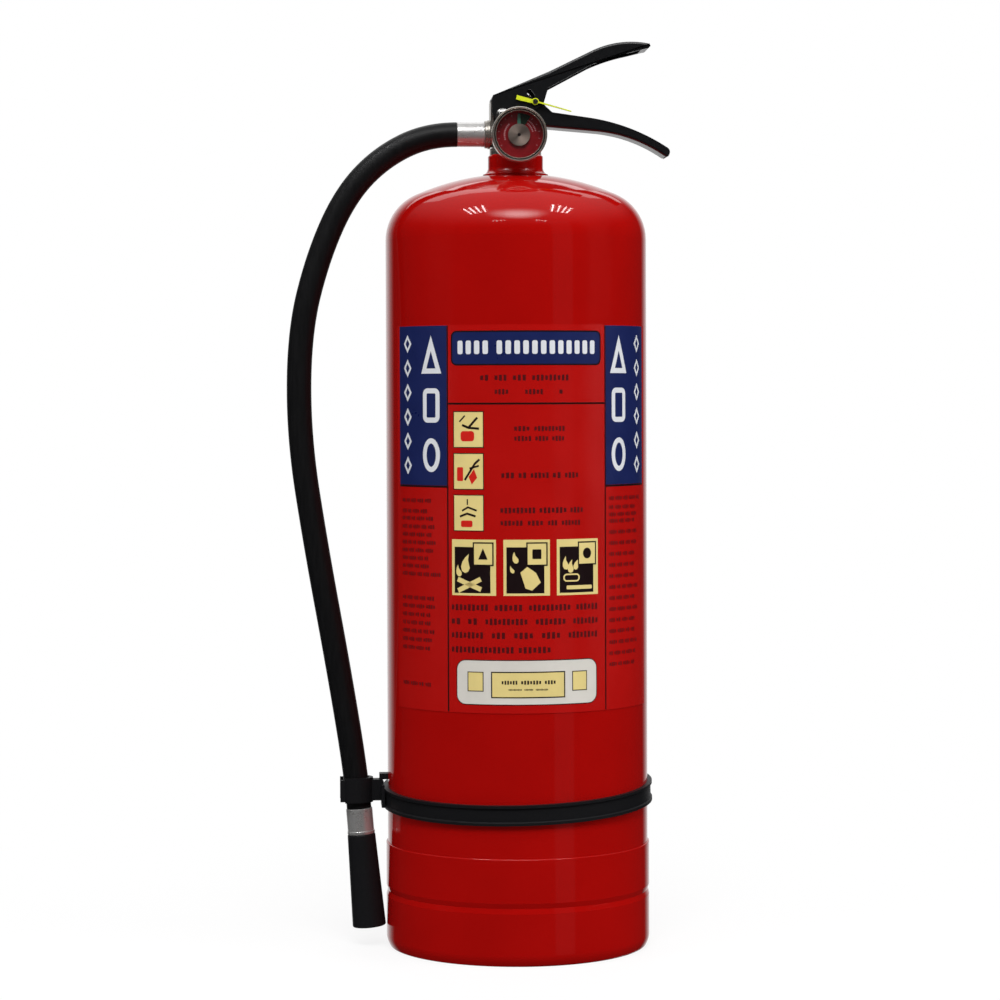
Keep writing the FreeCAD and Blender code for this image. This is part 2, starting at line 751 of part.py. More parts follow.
def make_gauge_needle():
    """Pointer with its spindle, which turns in the dial's hole."""
    blade = doc.addObject("PartDesign::Body", "needle_blade")
    pad = blade.newObject("PartDesign::Pad", "needle_pad")
    pad.Profile = outline(blade, "needle_side", [
        ("-needle_half_width", "-2"), ("-needle_half_width", "needle_length - 4"),
        ("0", "needle_length"), ("needle_half_width", "needle_length - 4"),
        ("needle_half_width", "-2"),
    ])
    pad.Midplane = True
    bind(pad, Length="0.5")
    place(blade, ("0", "-(dial_depth + dial_thickness + 0.85)", "gauge_z"))
    spindle = cylinder("needle_spindle", "spindle_radius", "dial_thickness + 3.7",
                       ("0", "-(dial_depth - 2)", "gauge_z"), TO_FRONT)
    return fuse("gauge_needle", [blade, spindle])


def make_gauge_hub():
    """Round cap pressed on the spindle's end, dished to a small dimple."""
    foot = "(dial_depth + dial_thickness + 1.1)"
    return turned("gauge_hub", [
        ("spindle_radius", foot),
        ("hub_radius", foot),
        ("hub_radius", f"{foot} + 0.5", 0.5),
        ("hub_radius - 0.5", f"{foot} + 1.0"),
        ("1.2", f"{foot} + 1.3"),
        ("0.6", f"{foot} + 1.0"),
        ("0", f"{foot} + 1.0"),
        ("0", f"{foot} + 0.6"),
        ("spindle_radius", f"{foot} + 0.6"),
    ], GAUGE, TO_FRONT)


# ---------------------------------------------------------------- hose fittings
OUTLET = ("0", "0", "outlet_z")


def make_hose_tail():
    """Steel tail: a flange against the valve and a tube inside the hose's end."""
    return turned("hose_tail", [
        ("tail_bore", "outlet_face"),
        ("tail_radius + 3.5", "outlet_face"),
        ("tail_radius + 3.5", "outlet_face + 1.5"),
        ("tail_radius", "outlet_face + 1.5"),
        ("tail_radius", "ferrule_end - 1"),
        ("tail_bore", "ferrule_end - 1"),
    ], OUTLET, TO_HOSE)


def make_hose_nut():
    return turned("hose_nut", [
        ("tail_radius", "outlet_face + 1.5"),
        ("tail_radius + 3.5", "outlet_face + 1.5"),
        ("tail_radius + 3.5", "outlet_face"),
        ("nut_radius - 0.4", "outlet_face"),
        ("nut_radius", "outlet_face + 0.4"),
        ("nut_radius", "nut_end - 2.2"),
        ("nut_radius - 0.5", "nut_end - 1.9"),
        ("nut_radius - 0.5", "nut_end - 0.3"),
        ("nut_radius - 0.8", "nut_end"),
        ("tail_radius", "nut_end"),
    ], OUTLET, TO_HOSE)


def make_ferrule_upper():
    """Smooth crimped sleeve over the hose's end."""
    return turned("ferrule_upper", [
        ("tail_radius", "nut_end"),
        ("ferrule_radius", "nut_end"),
        ("ferrule_radius", "ferrule_end - 1", 1),
        ("ferrule_radius - 0.7", "ferrule_end"),
        ("tail_radius", "ferrule_end"),
    ], OUTLET, TO_HOSE)


# ---------------------------------------------------------------- hose
def route_points():
    """The hose's route, starting past the gap at its bending point by the ferrule."""
    points = [Vector(x, 0, z) for x, z in HOSE_ROUTE]
    points[0].x -= number("hose_joint_gap")
    return points


def rounded_path(points):
    """Straight runs joined by tangent arcs as large as their runs allow; prints the radii."""
    edges = []
    radii = []
    start = points[0]
    for before, corner, after in zip(points, points[1:], points[2:]):
        run_in, run_out = corner - before, after - corner
        turn = run_in.getAngle(run_out)
        setback = ROUTE_ARC_SHARE * min(run_in.Length, run_out.Length)
        radius = setback / math.tan(turn / 2)
        radii.append(radius)
        arc_start = corner - run_in.normalize() * setback
        arc_end = corner + run_out.normalize() * setback
        inward = (arc_start + arc_end) * 0.5 - corner
        depth = radius * (1 / math.cos(turn / 2) - 1)
        arc_middle = corner + inward.normalize() * depth
        edges.append(Part.LineSegment(start, arc_start).toShape())
        edges.append(Part.Arc(arc_start, arc_middle, arc_end).toShape())
        start = arc_end
    edges.append(Part.LineSegment(start, points[-1]).toShape())
    print("hose radii, mm:", ", ".join(f"{r:.0f}" for r in radii))
    return Part.Wire(edges)


def make_hose():
    points = route_points()
    path = rounded_path(points)
    way = points[1] - points[0]
    radius = number("hose_radius")
    section = Part.Wire(Part.Circle(points[0], way, radius).toShape())
    tube = path.makePipeShell([section], True, False)
    wanted = math.pi * radius**2 * path.Length
    print(f"hose length {path.Length:.1f} mm, volume {tube.Volume:.0f} of {wanted:.0f} mm3")
    if abs(tube.Volume / wanted - 1) > 0.002:
        raise ValueError("the hose's volume differs from its section times its length")
    return shaped("hose", tube)


def end_placement(distance):
    """A place past the hose's end, its Z axis along the hose's last run."""
    before, end = (Vector(x, 0, z) for x, z in HOSE_ROUTE[-2:])
    way = (end - before).normalize()
    return FreeCAD.Placement(end + way * distance, Rotation(AXIS_Z, way))


def make_ferrule_lower():
    """Crimped sleeve with two pressed grooves."""
    item = turned("ferrule_lower", [
        ("0", "0"),
        ("end_ferrule_radius - 0.4", "0"),
        ("end_ferrule_radius", "0.4"),
        ("end_ferrule_radius", "5"),
        ("end_ferrule_radius - 0.5", "5.6"),
        ("end_ferrule_radius - 0.5", "6.8"),
        ("end_ferrule_radius", "7.4"),
        ("end_ferrule_radius", "11"),
        ("end_ferrule_radius - 0.5", "11.6"),
        ("end_ferrule_radius - 0.5", "12.8"),
        ("end_ferrule_radius", "13.4"),
        ("end_ferrule_radius", "end_ferrule_length"),
        ("0", "end_ferrule_length"),
    ])
    item.Placement = end_placement(0)
    return item


def make_nozzle():
    """Tapered moulded nozzle, hollow from its mouth up to the throat."""
    item = turned("nozzle", [
        ("nozzle_throat", "0"),
        ("nozzle_top_radius - 0.8", "0", 0.8),
        ("nozzle_top_radius", "0.8"),
        ("nozzle_mouth_radius", "nozzle_length - 1", 1.0),
        ("nozzle_mouth_radius - 1", "nozzle_length"),
        ("nozzle_bore", "nozzle_length"),
        ("nozzle_bore - 1.2", "nozzle_length - 40"),
        ("nozzle_throat", "nozzle_length - 48"),
    ])
    item.Placement = end_placement(number("end_ferrule_length"))
    return item


# ---------------------------------------------------------------- strap and clip
def strap_placement(distance=0):
    """The strap's own place, or a point along its leaning axis."""
    axis = Vector(-STRAP_RISE_X, -STRAP_RISE_Y, 1).normalize()
    centre = Vector(0, 0, number("strap_height"))
    return FreeCAD.Placement(centre + axis * distance, Rotation(AXIS_Z, axis))


def make_strap_band():
    """Moulded band with a raised rim along each edge, sitting a little crooked."""
    band = turned("strap_ring", [
        ("strap_inner - 2", "-strap_half_width"),
        ("strap_rim", "-strap_half_width"),
        ("strap_rim", "-strap_half_width + 1.8"),
        ("strap_outer", "-strap_half_width + 2.5"),
        ("strap_outer", "strap_half_width - 2.5"),
        ("strap_rim", "strap_half_width - 1.8"),
        ("strap_rim", "strap_half_width"),
        ("strap_inner - 2", "strap_half_width"),
    ])
    band.Placement = strap_placement()
    core = cylinder("strap_core", "strap_inner", "60", ("0", "0", "strap_height - 30"))
    return cut("strap_band", band, core)


def make_hose_clip():
    """Open clip for the hose, its mouth facing away from the body, on an arm to the band."""
    outer = "(hose_radius + clip_clearance + clip_wall)"
    bore = "(hose_radius + clip_clearance)"
    reach = "(clip_mouth + clip_x)"
    solid = fuse("clip_solid", [
        cylinder("clip_round", outer, "clip_height", ("clip_x", "0", "clip_bottom")),
        box("clip_jaws", (reach, f"2 * {outer}", "clip_height"),
            ("-clip_mouth", f"-{outer}", "clip_bottom")),
        box("clip_lip_front", ("3.3", "3", "clip_height - 2"),
            ("-clip_mouth - 3.3", f"-{outer} - 0.9", "clip_bottom + 1")),
        box("clip_lip_back", ("3.3", "3", "clip_height - 2"),
            ("-clip_mouth - 3.3", f"{outer} - 2.1", "clip_bottom + 1")),
        box("clip_arm", (f"-clip_x - {outer} + 2 - strap_inner", "9", "14.5"),
            (f"clip_x + {outer} - 2", "-4.5", "clip_bottom + 1")),
        box("clip_root", ("6", "26", "15.5"), ("-strap_inner - 4.5", "-13", "clip_bottom - 3")),
    ])
    below, end = (Vector(x, 0, z) for x, z in (HOSE_ROUTE[-2], HOSE_ROUTE[-1]))
    way = (below - end).normalize()
    channel = cylinder("clip_channel", bore, "60")
    channel.Placement = FreeCAD.Placement(end - way * 20, Rotation(AXIS_Z, way))
    mouth = box("clip_opening", ("40", f"2 * {bore}", "60"))
    tilt = Rotation(AXIS_Z, way)
    corner = tilt.multVec(Vector(-40, -number(bore), 0))
    mouth.Placement = FreeCAD.Placement(end - way * 20 + corner, tilt)
    core = cylinder("clip_core", "strap_rim + 0.05", "60")
    core.Placement = strap_placement(-30)
    return cut("hose_clip", solid, channel, mouth, core)


def make_strap_buckle():
    """Ratchet head where the band's tail is drawn through, above the clip's arm."""
    block = box("buckle_block", ("7", "9", "4"),
                ("-strap_rim - 2.6", "-4.5", "clip_bottom + 15.55"))
    core = cylinder("buckle_core", "strap_inner", "60", ("0", "0", "strap_height - 30"))
    return cut("strap_buckle", block, core)


# ---------------------------------------------------------------- the whole
def build():
    node("cylinder_shell", make_cylinder_shell())
    node("bottom_head", make_bottom_head())
    node("foot_ring", make_foot_ring())
    node("neck_ring", make_neck_ring())
    node("neck_oring", torus("neck_oring", "neck_bore + 1", "oring_wire",
                             ("0", "0", "neck_top - 1.1")))
    node("label", make_label())
    node("powder_charge", make_powder())
    node("dip_tube", ring("dip_tube", "dip_tube_radius", "dip_tube_bore",
                          "retainer_bottom - dip_tube_foot", ("0", "0", "dip_tube_foot")))
    node("valve_body", make_valve_body())
    node("spring_retainer", ring("spring_retainer", "chamber_radius", "retainer_hole",
                                 "retainer_top - retainer_bottom",
                                 ("0", "0", "retainer_bottom")))
    node("valve_stem", make_valve_stem())
    node("stem_seal", ring("stem_seal", "seat_washer_radius", "stem_radius",
                           "seat_washer_thickness",
                           ("0", "0", "seat_height - seat_washer_thickness")))
    make_valve_spring()
    node("stem_oring", torus("stem_oring", "stem_radius + stem_clearance + 1", "1",
                             ("0", "0", "gland_height + 1.5")))
    node("gland_nut", ring("gland_nut", "gland_radius", "stem_radius + stem_clearance",
                           "valve_top - gland_nut_bottom", ("0", "0", "gland_nut_bottom")))
    node("carry_handle", make_carry_handle())
    node("squeeze_lever", make_squeeze_lever())
    node("pivot_rivet", make_pivot_rivet())
    half = "(block_half_width + sheet)"
    node("handle_rivet", cylinder("handle_rivet", "handle_rivet_radius", f"2 * {half}",
                                  ("handle_rivet_x", half, "handle_rivet_z"), TO_FRONT))
    node("safety_pin", make_safety_pin())
    node("pull_ring", make_pull_ring())
    node("tamper_seal", make_tamper_seal())
    node("gauge_stem", make_gauge_stem())
    node("gauge_case", make_gauge_case())
    node("gauge_bezel", make_gauge_bezel())
    node("gauge_coil", make_gauge_coil())
    node("gauge_dial", ring("gauge_dial", "gauge_case_radius - gauge_wall",
                            "spindle_radius + spindle_clearance", "dial_thickness",
                            ("0", "-dial_depth", "gauge_z"), TO_FRONT))
    node("gauge_needle", make_gauge_needle())
    node("gauge_hub", make_gauge_hub())
    node("gauge_lens", cylinder("gauge_lens", "gauge_case_radius - gauge_wall",
                                "lens_thickness", ("0", "-lens_depth", "gauge_z"), TO_FRONT))
    node("hose_tail", make_hose_tail())
    node("hose_nut", make_hose_nut())
    node("ferrule_upper", make_ferrule_upper())
    make_hose()
    node("ferrule_lower", make_ferrule_lower())
    node("nozzle", make_nozzle())
    node("strap_band", make_strap_band())
    node("hose_clip", make_hose_clip())
    node("strap_buckle", make_strap_buckle())


def check():
    """Stop before anything is written if an object failed or a sub-part isn't a good solid."""
    for item in doc.Objects:
        if "Invalid" in item.State or "Error" in item.State:
            raise ValueError(f"{item.Name} failed: {item.State}")
    for label, item in parts.items():
        shape = item.Shape
        if shape.isNull() or not shape.isValid() or not shape.Solids:
            raise ValueError(f"{label} is not a valid solid")
        if len(shape.Solids) != 1:
            raise ValueError(f"{label} has {len(shape.Solids)} solids")


def write():
    os.makedirs("parts", exist_ok=True)
    for label, item in parts.items():
        item.Shape.exportStep(f"parts/{label}.step")
    print(len(parts), "sub-parts written")


build()
doc.recompute()
check()
write()
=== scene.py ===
"""The look of the dry-powder fire extinguisher: its hose, label print, gauge, metals and paint.

Every piece is in metres in the CAD frame: +Z up, -Y to the front, +X towards the handles.
"""
import math
import random

import bmesh
import bpy
from mathutils import Matrix, Quaternion, Vector


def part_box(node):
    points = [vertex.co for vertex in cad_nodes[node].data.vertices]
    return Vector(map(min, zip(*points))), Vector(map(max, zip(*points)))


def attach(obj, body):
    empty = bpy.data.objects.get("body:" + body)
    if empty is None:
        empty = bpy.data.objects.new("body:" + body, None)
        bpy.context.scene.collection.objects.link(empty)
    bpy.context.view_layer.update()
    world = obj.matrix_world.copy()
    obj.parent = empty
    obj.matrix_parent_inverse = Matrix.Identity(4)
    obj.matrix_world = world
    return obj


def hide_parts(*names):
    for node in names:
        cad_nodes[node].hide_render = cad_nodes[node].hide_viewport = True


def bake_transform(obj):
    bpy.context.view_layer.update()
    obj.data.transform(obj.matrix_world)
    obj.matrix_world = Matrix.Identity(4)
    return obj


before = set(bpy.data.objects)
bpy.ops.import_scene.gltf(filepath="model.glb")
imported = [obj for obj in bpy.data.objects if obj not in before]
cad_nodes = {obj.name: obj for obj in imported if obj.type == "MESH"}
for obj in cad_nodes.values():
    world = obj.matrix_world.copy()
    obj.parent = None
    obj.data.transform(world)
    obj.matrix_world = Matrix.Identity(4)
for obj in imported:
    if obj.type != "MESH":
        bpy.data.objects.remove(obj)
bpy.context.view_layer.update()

MM = 0.001
scene = bpy.context.scene

# ---------------------------------------------------------------- camera
CAMERA_DISTANCE = 2.036      # from the cylinder's axis
CAMERA_HEIGHT = 0.383
CAMERA_TURN = math.radians(-4.0)
CAMERA_YAW = math.radians(0.32)
CAMERA_PITCH = math.radians(-1.21)
CAMERA_ROLL = math.radians(-0.2)
CAMERA_LENS = 105.9          # millimetres, with a sensor 36 mm wide
CAMERA_SHIFT = -0.047


def make_camera():
    """The photograph's camera: nearly level, a little to the left, with a long lens."""
    data = bpy.data.cameras.new("camera")
    data.lens = CAMERA_LENS
    data.sensor_width = 36.0
    data.shift_y = CAMERA_SHIFT
    camera = bpy.data.objects.new("camera", data)
    scene.collection.objects.link(camera)
    camera.location = (CAMERA_DISTANCE * math.sin(CAMERA_TURN),
                       -CAMERA_DISTANCE * math.cos(CAMERA_TURN), CAMERA_HEIGHT)
    turn = Matrix.Rotation(CAMERA_TURN + CAMERA_YAW, 3, "Z")
    tilt = Matrix.Rotation(math.radians(90) + CAMERA_PITCH, 3, "X")
    roll = Matrix.Rotation(CAMERA_ROLL, 3, "Z")
    camera.rotation_mode = "QUATERNION"
    camera.rotation_quaternion = (turn @ tilt @ roll).to_quaternion()
    scene.camera = camera


make_camera()


# ---------------------------------------------------------------- pieces from outlines
def add_mesh(name, mesh):
    """A piece of the scene that shows a mesh."""
    piece = bpy.data.objects.new(name, mesh)
    scene.collection.objects.link(piece)
    return piece


def smooth(mesh, angle=35.0):
    """Smooth shading, with edges sharper than the angle kept sharp."""
    mesh.shade_smooth()
    bm = bmesh.new()
    bm.from_mesh(mesh)
    for edge in bm.edges:
        edge.smooth = len(edge.link_faces) == 2 and edge.calc_face_angle() < math.radians(angle)
    bm.to_mesh(mesh)
    bm.free()


def add_piece(name, bm, place=None, smoothed=True):
    """A piece of the scene from a bmesh, moved to its place."""
    mesh = bpy.data.meshes.new(name)
    bm.to_mesh(mesh)
    bm.free()
    if place is not None:
        mesh.transform(place)
    if smoothed:
        smooth(mesh)
    return add_mesh(name, mesh)


def circle_turns(count):
    """Angles in radians, evenly round a circle."""
    return [2 * math.pi * k / count for k in range(count)]


def spline_points(route):
    """Points along the smooth line of a route, from its NURBS spline."""
    curve = bpy.data.curves.new("route", "CURVE")
    curve.dimensions = "3D"
    curve.resolution_u = 16
    spline = curve.splines.new("NURBS")
    spline.points.add(len(route) - 1)
    for point, place in zip(spline.points, route):
        point.co = (*place, 1)
    spline.order_u = 3
    spline.use_endpoint_u = True
    carrier = bpy.data.objects.new("route", curve)
    mesh = bpy.data.meshes.new_from_object(carrier)
    points = [v.co.copy() for v in mesh.vertices]
    bpy.data.meshes.remove(mesh)
    bpy.data.objects.remove(carrier)
    bpy.data.curves.remove(curve)
    return points


def tube(name, points, radius, sides=40):
    """A closed tube whose rings are centred on points of a line that lies in the XZ plane."""
    bm = bmesh.new()
    across = Vector((0, 1, 0))
    rings = []
    for i, point in enumerate(points):
        before, after = points[max(i - 1, 0)], points[min(i + 1, len(points) - 1)]
        outward = (after - before).normalized().cross(across)
        rings.append([bm.verts.new(point + radius * (math.cos(t) * across + math.sin(t) * outward))
                      for t in circle_turns(sides)])
    for first, second in zip(rings, rings[1:]):
        for k in range(sides):
            n = (k + 1) % sides
            bm.faces.new((first[k], first[n], second[n], second[k]))
    bm.faces.new(rings[0][::-1])
    bm.faces.new(rings[-1])
    bmesh.ops.recalc_face_normals(bm, faces=bm.faces)
    return add_piece(name, bm)


def turned(name, profile, place, axis, sides=96):
    """A closed body of revolution.

    profile holds (radius, height) points in millimetres, with heights along the axis from place.
    """
    bm = bmesh.new()
    rings = []
    for radius, height in ((r * MM, h * MM) for r, h in profile):
        if radius < 1e-7:
            rings.append([bm.verts.new((0, 0, height))])
        else:
            rings.append([bm.verts.new((radius * math.cos(t), radius * math.sin(t), height))
                          for t in circle_turns(sides)])
    for first, second in zip(rings, rings[1:] + rings[:1]):
        if len(first) == 1 and len(second) == 1:
            continue
        for k in range(sides):
            n = (k + 1) % sides
            corners = [first[k % len(first)], first[n % len(first)],
                       second[n % len(second)], second[k % len(second)]]
            bm.faces.new(list(dict.fromkeys(corners)))
    bmesh.ops.recalc_face_normals(bm, faces=bm.faces)
    turn = Vector(axis).to_track_quat("Z", "Y").to_matrix().to_4x4()
    return add_piece(name, bm, Matrix.Translation(place) @ turn)


def oval(x, z, half_width, half_height, count=28):
    """Points round an ellipse."""
    return [(x + half_width * math.cos(t), z + half_height * math.sin(t))
            for t in circle_turns(count)]


def arc(x, z, radius, start, end, count):
    """Points on an arc, its angles in degrees from +X."""
    angles = [math.radians(start + (end - start) * k / count) for k in range(count + 1)]
    return [(x + radius * math.cos(a), z + radius * math.sin(a)) for a in angles]


def sector(inner, outer, start, end, count=6):
    """A piece of a flat ring, its angles in degrees from +X."""
    return arc(0, 0, inner, start, end, count) + arc(0, 0, outer, start, end, count)[::-1]


def rounded(x0, x1, z0, z1, corner):
    """A rectangle, with round corners if their radius isn't 0."""
    if not corner:
        return [(x0, z0), (x1, z0), (x1, z1), (x0, z1)]
    centres = ((x1 - corner, z0 + corner, -90), (x1 - corner, z1 - corner, 0),
               (x0 + corner, z1 - corner, 90), (x0 + corner, z0 + corner, 180))
    return [p for x, z, turn in centres for p in arc(x, z, corner, turn, turn + 90, 5)]


def leaning(points, x, z, size, degrees):
    """A unit shape scaled, turned and moved."""
    c, s = math.cos(math.radians(degrees)), math.sin(math.radians(degrees))
    return [(x + size * (c * a - s * b), z + size * (s * a + c * b)) for a, b in points]


# ---------------------------------------------------------------- materials
GRAIN_LOW, GRAIN_HIGH = 0.3, 0.7     # where nearly all of the noise lies


def srgb(*levels):
    """A linear colour from 0-255 display levels."""
    return [(v / 255 / 12.92) if v <= 10 else ((v / 255 + 0.055) / 1.055) ** 2.4 for v in levels]


def add_node(tree, kind, inputs=(), **settings):
    """A shader node. Each of its inputs is a value, or the output that it is linked to."""
    node = tree.nodes.new("ShaderNode" + kind)
    for key, value in settings.items():
        setattr(node, key, value)
    for key, value in dict(inputs).items():
        if isinstance(value, bpy.types.NodeSocket):
            tree.links.new(value, node.inputs[key])
        else:
            node.inputs[key].default_value = value
    return node


def surface(name, colour, roughness, grain, stretch=(1, 1, 1), **sockets):
    """A principled material with fine variation of colour, roughness and relief.

    grain is (size in metres, colour share, roughness share, bump height in metres), and stretch
    draws it out along X, Y and Z. sockets holds metallic, specular and alpha.
    """
    size, tint, rough, bump = grain
    material = bpy.data.materials.new(name)
    material.use_nodes = True
    tree = material.node_tree
    shader = tree.nodes["Principled BSDF"]
    shader.inputs["Base Color"].default_value = (*colour, 1)
    shader.inputs["Roughness"].default_value = roughness
    for key, socket in (("metallic", "Metallic"), ("specular", "Specular IOR Level"),
                        ("alpha", "Alpha")):
        if key in sockets:
            shader.inputs[socket].default_value = sockets[key]
    place = add_node(tree, "TexCoord")
    scale = add_node(tree, "Mapping", {"Vector": place.outputs["Object"],
                                       "Scale": [1 / size / s for s in stretch]})
    noise = add_node(tree, "TexNoise", {"Vector": scale.outputs["Vector"], "Scale": 1.0,
                                        "Detail": 6.0, "Roughness": 0.6})
    ramp = add_node(tree, "ValToRGB", {"Fac": noise.outputs["Fac"]})
    for element, position, share in zip(ramp.color_ramp.elements, (GRAIN_LOW, GRAIN_HIGH),
                                        (1 - tint, 1 + tint)):
        element.position = position
        element.color = (*[min(1, c * share) for c in colour], 1)
    tree.links.new(ramp.outputs["Color"], shader.inputs["Base Color"])
    levels = add_node(tree, "MapRange", {"Value": noise.outputs["Fac"],
                                         "From Min": GRAIN_LOW, "From Max": GRAIN_HIGH,
                                         "To Min": max(0.02, roughness * (1 - rough)),
                                         "To Max": min(1, roughness * (1 + rough))})
    tree.links.new(levels.outputs["Result"], shader.inputs["Roughness"])
    if bump:
        relief = add_node(tree, "Bump", {"Height": noise.outputs["Fac"], "Strength": 1.0,
                                         "Distance": bump})
        tree.links.new(relief.outputs["Normal"], shader.inputs["Normal"])
    return material


def ink(name, levels, grain_size, tint, roughness=0.35):
    """A colour printed on the label."""
    return surface(name, srgb(*levels), roughness, (grain_size, tint, 0.1, 0), specular=0.45)


red_paint = surface("red_paint", [0.36, 0.0026, 0.0018], 0.06, (0.05, 0.05, 0.15, 6e-6),
                    specular=0.5)
label_red = surface("label_red", [0.42, 0.0042, 0.0032], 0.16, (0.03, 0.04, 0.12, 6e-6),
                    specular=0.45)
print_navy = ink("print_navy", (24, 34, 84), 0.02, 0.08, roughness=0.3)
print_dark = ink("print_dark", (24, 12, 14), 0.01, 0.1)
print_text = ink("print_text", (80, 12, 16), 0.01, 0.12)
print_cream = ink("print_cream", (226, 206, 134), 0.02, 0.05)
print_white = ink("print_white", (220, 222, 226), 0.02, 0.04)
print_plate = ink("print_plate", (214, 210, 202), 0.02, 0.04)
print_red = ink("print_red", (206, 30, 20), 0.01, 0.06)
black_paint = surface("black_paint", srgb(12, 13, 15), 0.3, (0.004, 0.1, 0.06, 0), specular=0.9)
black_plastic = surface("black_plastic", srgb(22, 22, 24), 0.46, (0.0009, 0.2, 0.15, 2e-5),
                        specular=0.22)
hose_rubber = surface("hose_rubber", srgb(17, 17, 18), 0.42, (0.0016, 0.2, 0.18, 2e-5),
                      stretch=(1, 1, 12), specular=0.25)
aluminium = surface("aluminium", [0.66, 0.65, 0.64], 0.3, (0.006, 0.06, 0.15, 0), metallic=0.72)
plated = surface("plated", [0.44, 0.41, 0.37], 0.28, (0.004, 0.12, 0.2, 0), metallic=0.85)
gauge_steel = surface("gauge_steel", [0.56, 0.51, 0.45], 0.26, (0.02, 0.04, 0.1, 0), metallic=0.85)
HUB_COLOUR = [0.28, 0.225, 0.19]
hub_steel = surface("hub_steel", HUB_COLOUR, 0.42, (0.004, 0.05, 0.2, 0), metallic=0.45)
steel = surface("steel", [0.62, 0.61, 0.60], 0.26, (0.002, 0.12, 0.4, 8e-6), metallic=1.0)
brass = surface("brass", [0.70, 0.50, 0.22], 0.28, (0.002, 0.12, 0.4, 8e-6), metallic=1.0)
# dark, for the hub's dimple and for the ring of painted shade in the rim's groove
gauge_dark = surface("gauge_dark", srgb(30, 20, 20), 0.4, (0.003, 0.2, 0.2, 0), specular=0.4)
dial_red = surface("dial_red", srgb(134, 10, 20), 0.4, (0.004, 0.12, 0.2, 0), specular=0.35)
dial_green = surface("dial_green", srgb(28, 52, 34), 0.45, (0.003, 0.12, 0.2, 0), specular=0.35)
dial_pale = surface("dial_pale", srgb(205, 150, 155), 0.5, (0.002, 0.1, 0.2, 0), specular=0.3)
needle_green = surface("needle_green", srgb(78, 128, 110), 0.4, (0.002, 0.12, 0.2, 0),
                       specular=0.4)
lens = surface("lens", [0.03, 0.03, 0.03], 0.05, (0.02, 0.01, 0.1, 0), specular=0.8, alpha=0.08)
seal_yellow = surface("seal_yellow", srgb(208, 220, 40), 0.35, (0.003, 0.12, 0.2, 2e-5),
                      specular=0.5)
dark_rubber = surface("dark_rubber", srgb(24, 24, 24), 0.6, (0.002, 0.15, 0.2, 1e-5),
                      specular=0.4)
pale_plastic = surface("pale_plastic", srgb(220, 218, 208), 0.45, (0.004, 0.05, 0.2, 1e-5),
                       specular=0.4)
powder = surface("powder", srgb(214, 206, 150), 0.9, (0.001, 0.1, 0.1, 2e-4), specular=0.2)

CAD_FINISHES = (
    (red_paint, "cylinder_shell bottom_head foot_ring neck_ring"),
    (label_red, "label"),
    (black_paint, "carry_handle squeeze_lever"),
    (black_plastic, "nozzle strap_band hose_clip strap_buckle"),
    (hose_rubber, "hose"),
    (dark_rubber, "neck_oring stem_oring stem_seal"),
    (plated, "valve_body hose_tail hose_nut gauge_stem"),
    (aluminium, "ferrule_upper ferrule_lower"),
    (brass, "spring_retainer valve_stem gland_nut gauge_coil"),
    (steel, "valve_spring pivot_rivet handle_rivet safety_pin pull_ring"),
    (gauge_steel, "gauge_case gauge_bezel"),
    (hub_steel, "gauge_hub"),
    (dial_red, "gauge_dial"),
    (needle_green, "gauge_needle"),
    (lens, "gauge_lens"),
    (seal_yellow, "tamper_seal"),
    (pale_plastic, "dip_tube"),
    (powder, "powder_charge"),
)
CAD_EDGES = ((0.0006, "foot_ring bottom_head nozzle"),
             (0.0004, "strap_band hose_clip strap_buckle"))


def finish_cad():
    """Gives each CAD piece its material, and rounds some crisp edges so that they catch light."""
    for material, names in CAD_FINISHES:
        for name in names.split():
            mesh = cad_nodes[name].data
            mesh.materials.clear()
            mesh.materials.append(material)
    for width, names in CAD_EDGES:
        for name in names.split():
            bevel = cad_nodes[name].modifiers.new("soft_edges", "BEVEL")
            bevel.width = width
            bevel.segments = 3
            bevel.limit_method = "ANGLE"
            bevel.angle_limit = math.radians(40)


finish_cad()


def finished(piece, material):
    """Gives a new piece its material."""
    piece.data.materials.append(material)
    return piece


# ---------------------------------------------------------------- hose
HOSE_DIAMETER = 0.017
HOSE_EXIT = (-0.0406, 0, 0.5598)
HOSE_ROUTE = [
    (-0.0406, 0, 0.5598),
    (-0.0610, 0, 0.5598),
    (-0.0935, 0, 0.5435),
    (-0.1180, 0, 0.5170),
    (-0.1365, 0, 0.4755),
    (-0.1495, 0, 0.4240),
    (-0.1503, 0, 0.3520),
    (-0.1386, 0, 0.2750),
    (-0.1233, 0, 0.1900),
    (-0.1118, 0, 0.1180),
    (-0.1099, 0, 0.0951),
]


def make_sleeve(name, node, body, start, direction, radius, length, collar):
    """Smooth aluminium sleeve pressed on the hose, with a small collar at its far end."""
    sleeve = turned(name, [
        (0.0, 0.0), (radius - 0.4, 0.0), (radius, 0.4), (radius, length - 2.4),
        (radius + collar, length - 2.0), (radius + collar, length - 0.5), (radius, length),
        (0.0, length),
    ], start, direction)
    finished(sleeve, aluminium)
    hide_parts(node)
    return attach(sleeve, body)


def make_hose():
    """The hose from its sleeve on the valve to its lower sleeve, which holds the nozzle."""
    make_sleeve("valve_sleeve", "ferrule_upper", "cylinder", Vector(HOSE_EXIT), (1, 0, 0),
                8.4, 19.2, 0.2)
    last, before = Vector(HOSE_ROUTE[-1]), Vector(HOSE_ROUTE[-2])
    lower_sleeve = make_sleeve("hose_sleeve", "ferrule_lower", "hose_run", last, last - before,
                               9.1, 17.9, 0.35)
    points = spline_points(HOSE_ROUTE)
    hose = tube("hose_cover", points, HOSE_DIAMETER / 2)
    finished(hose, hose_rubber)
    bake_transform(hose)
    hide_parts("hose")


make_hose()

# ---------------------------------------------------------------- pressed levers
BEND = 0.0018                # outside radius of the bent sheet


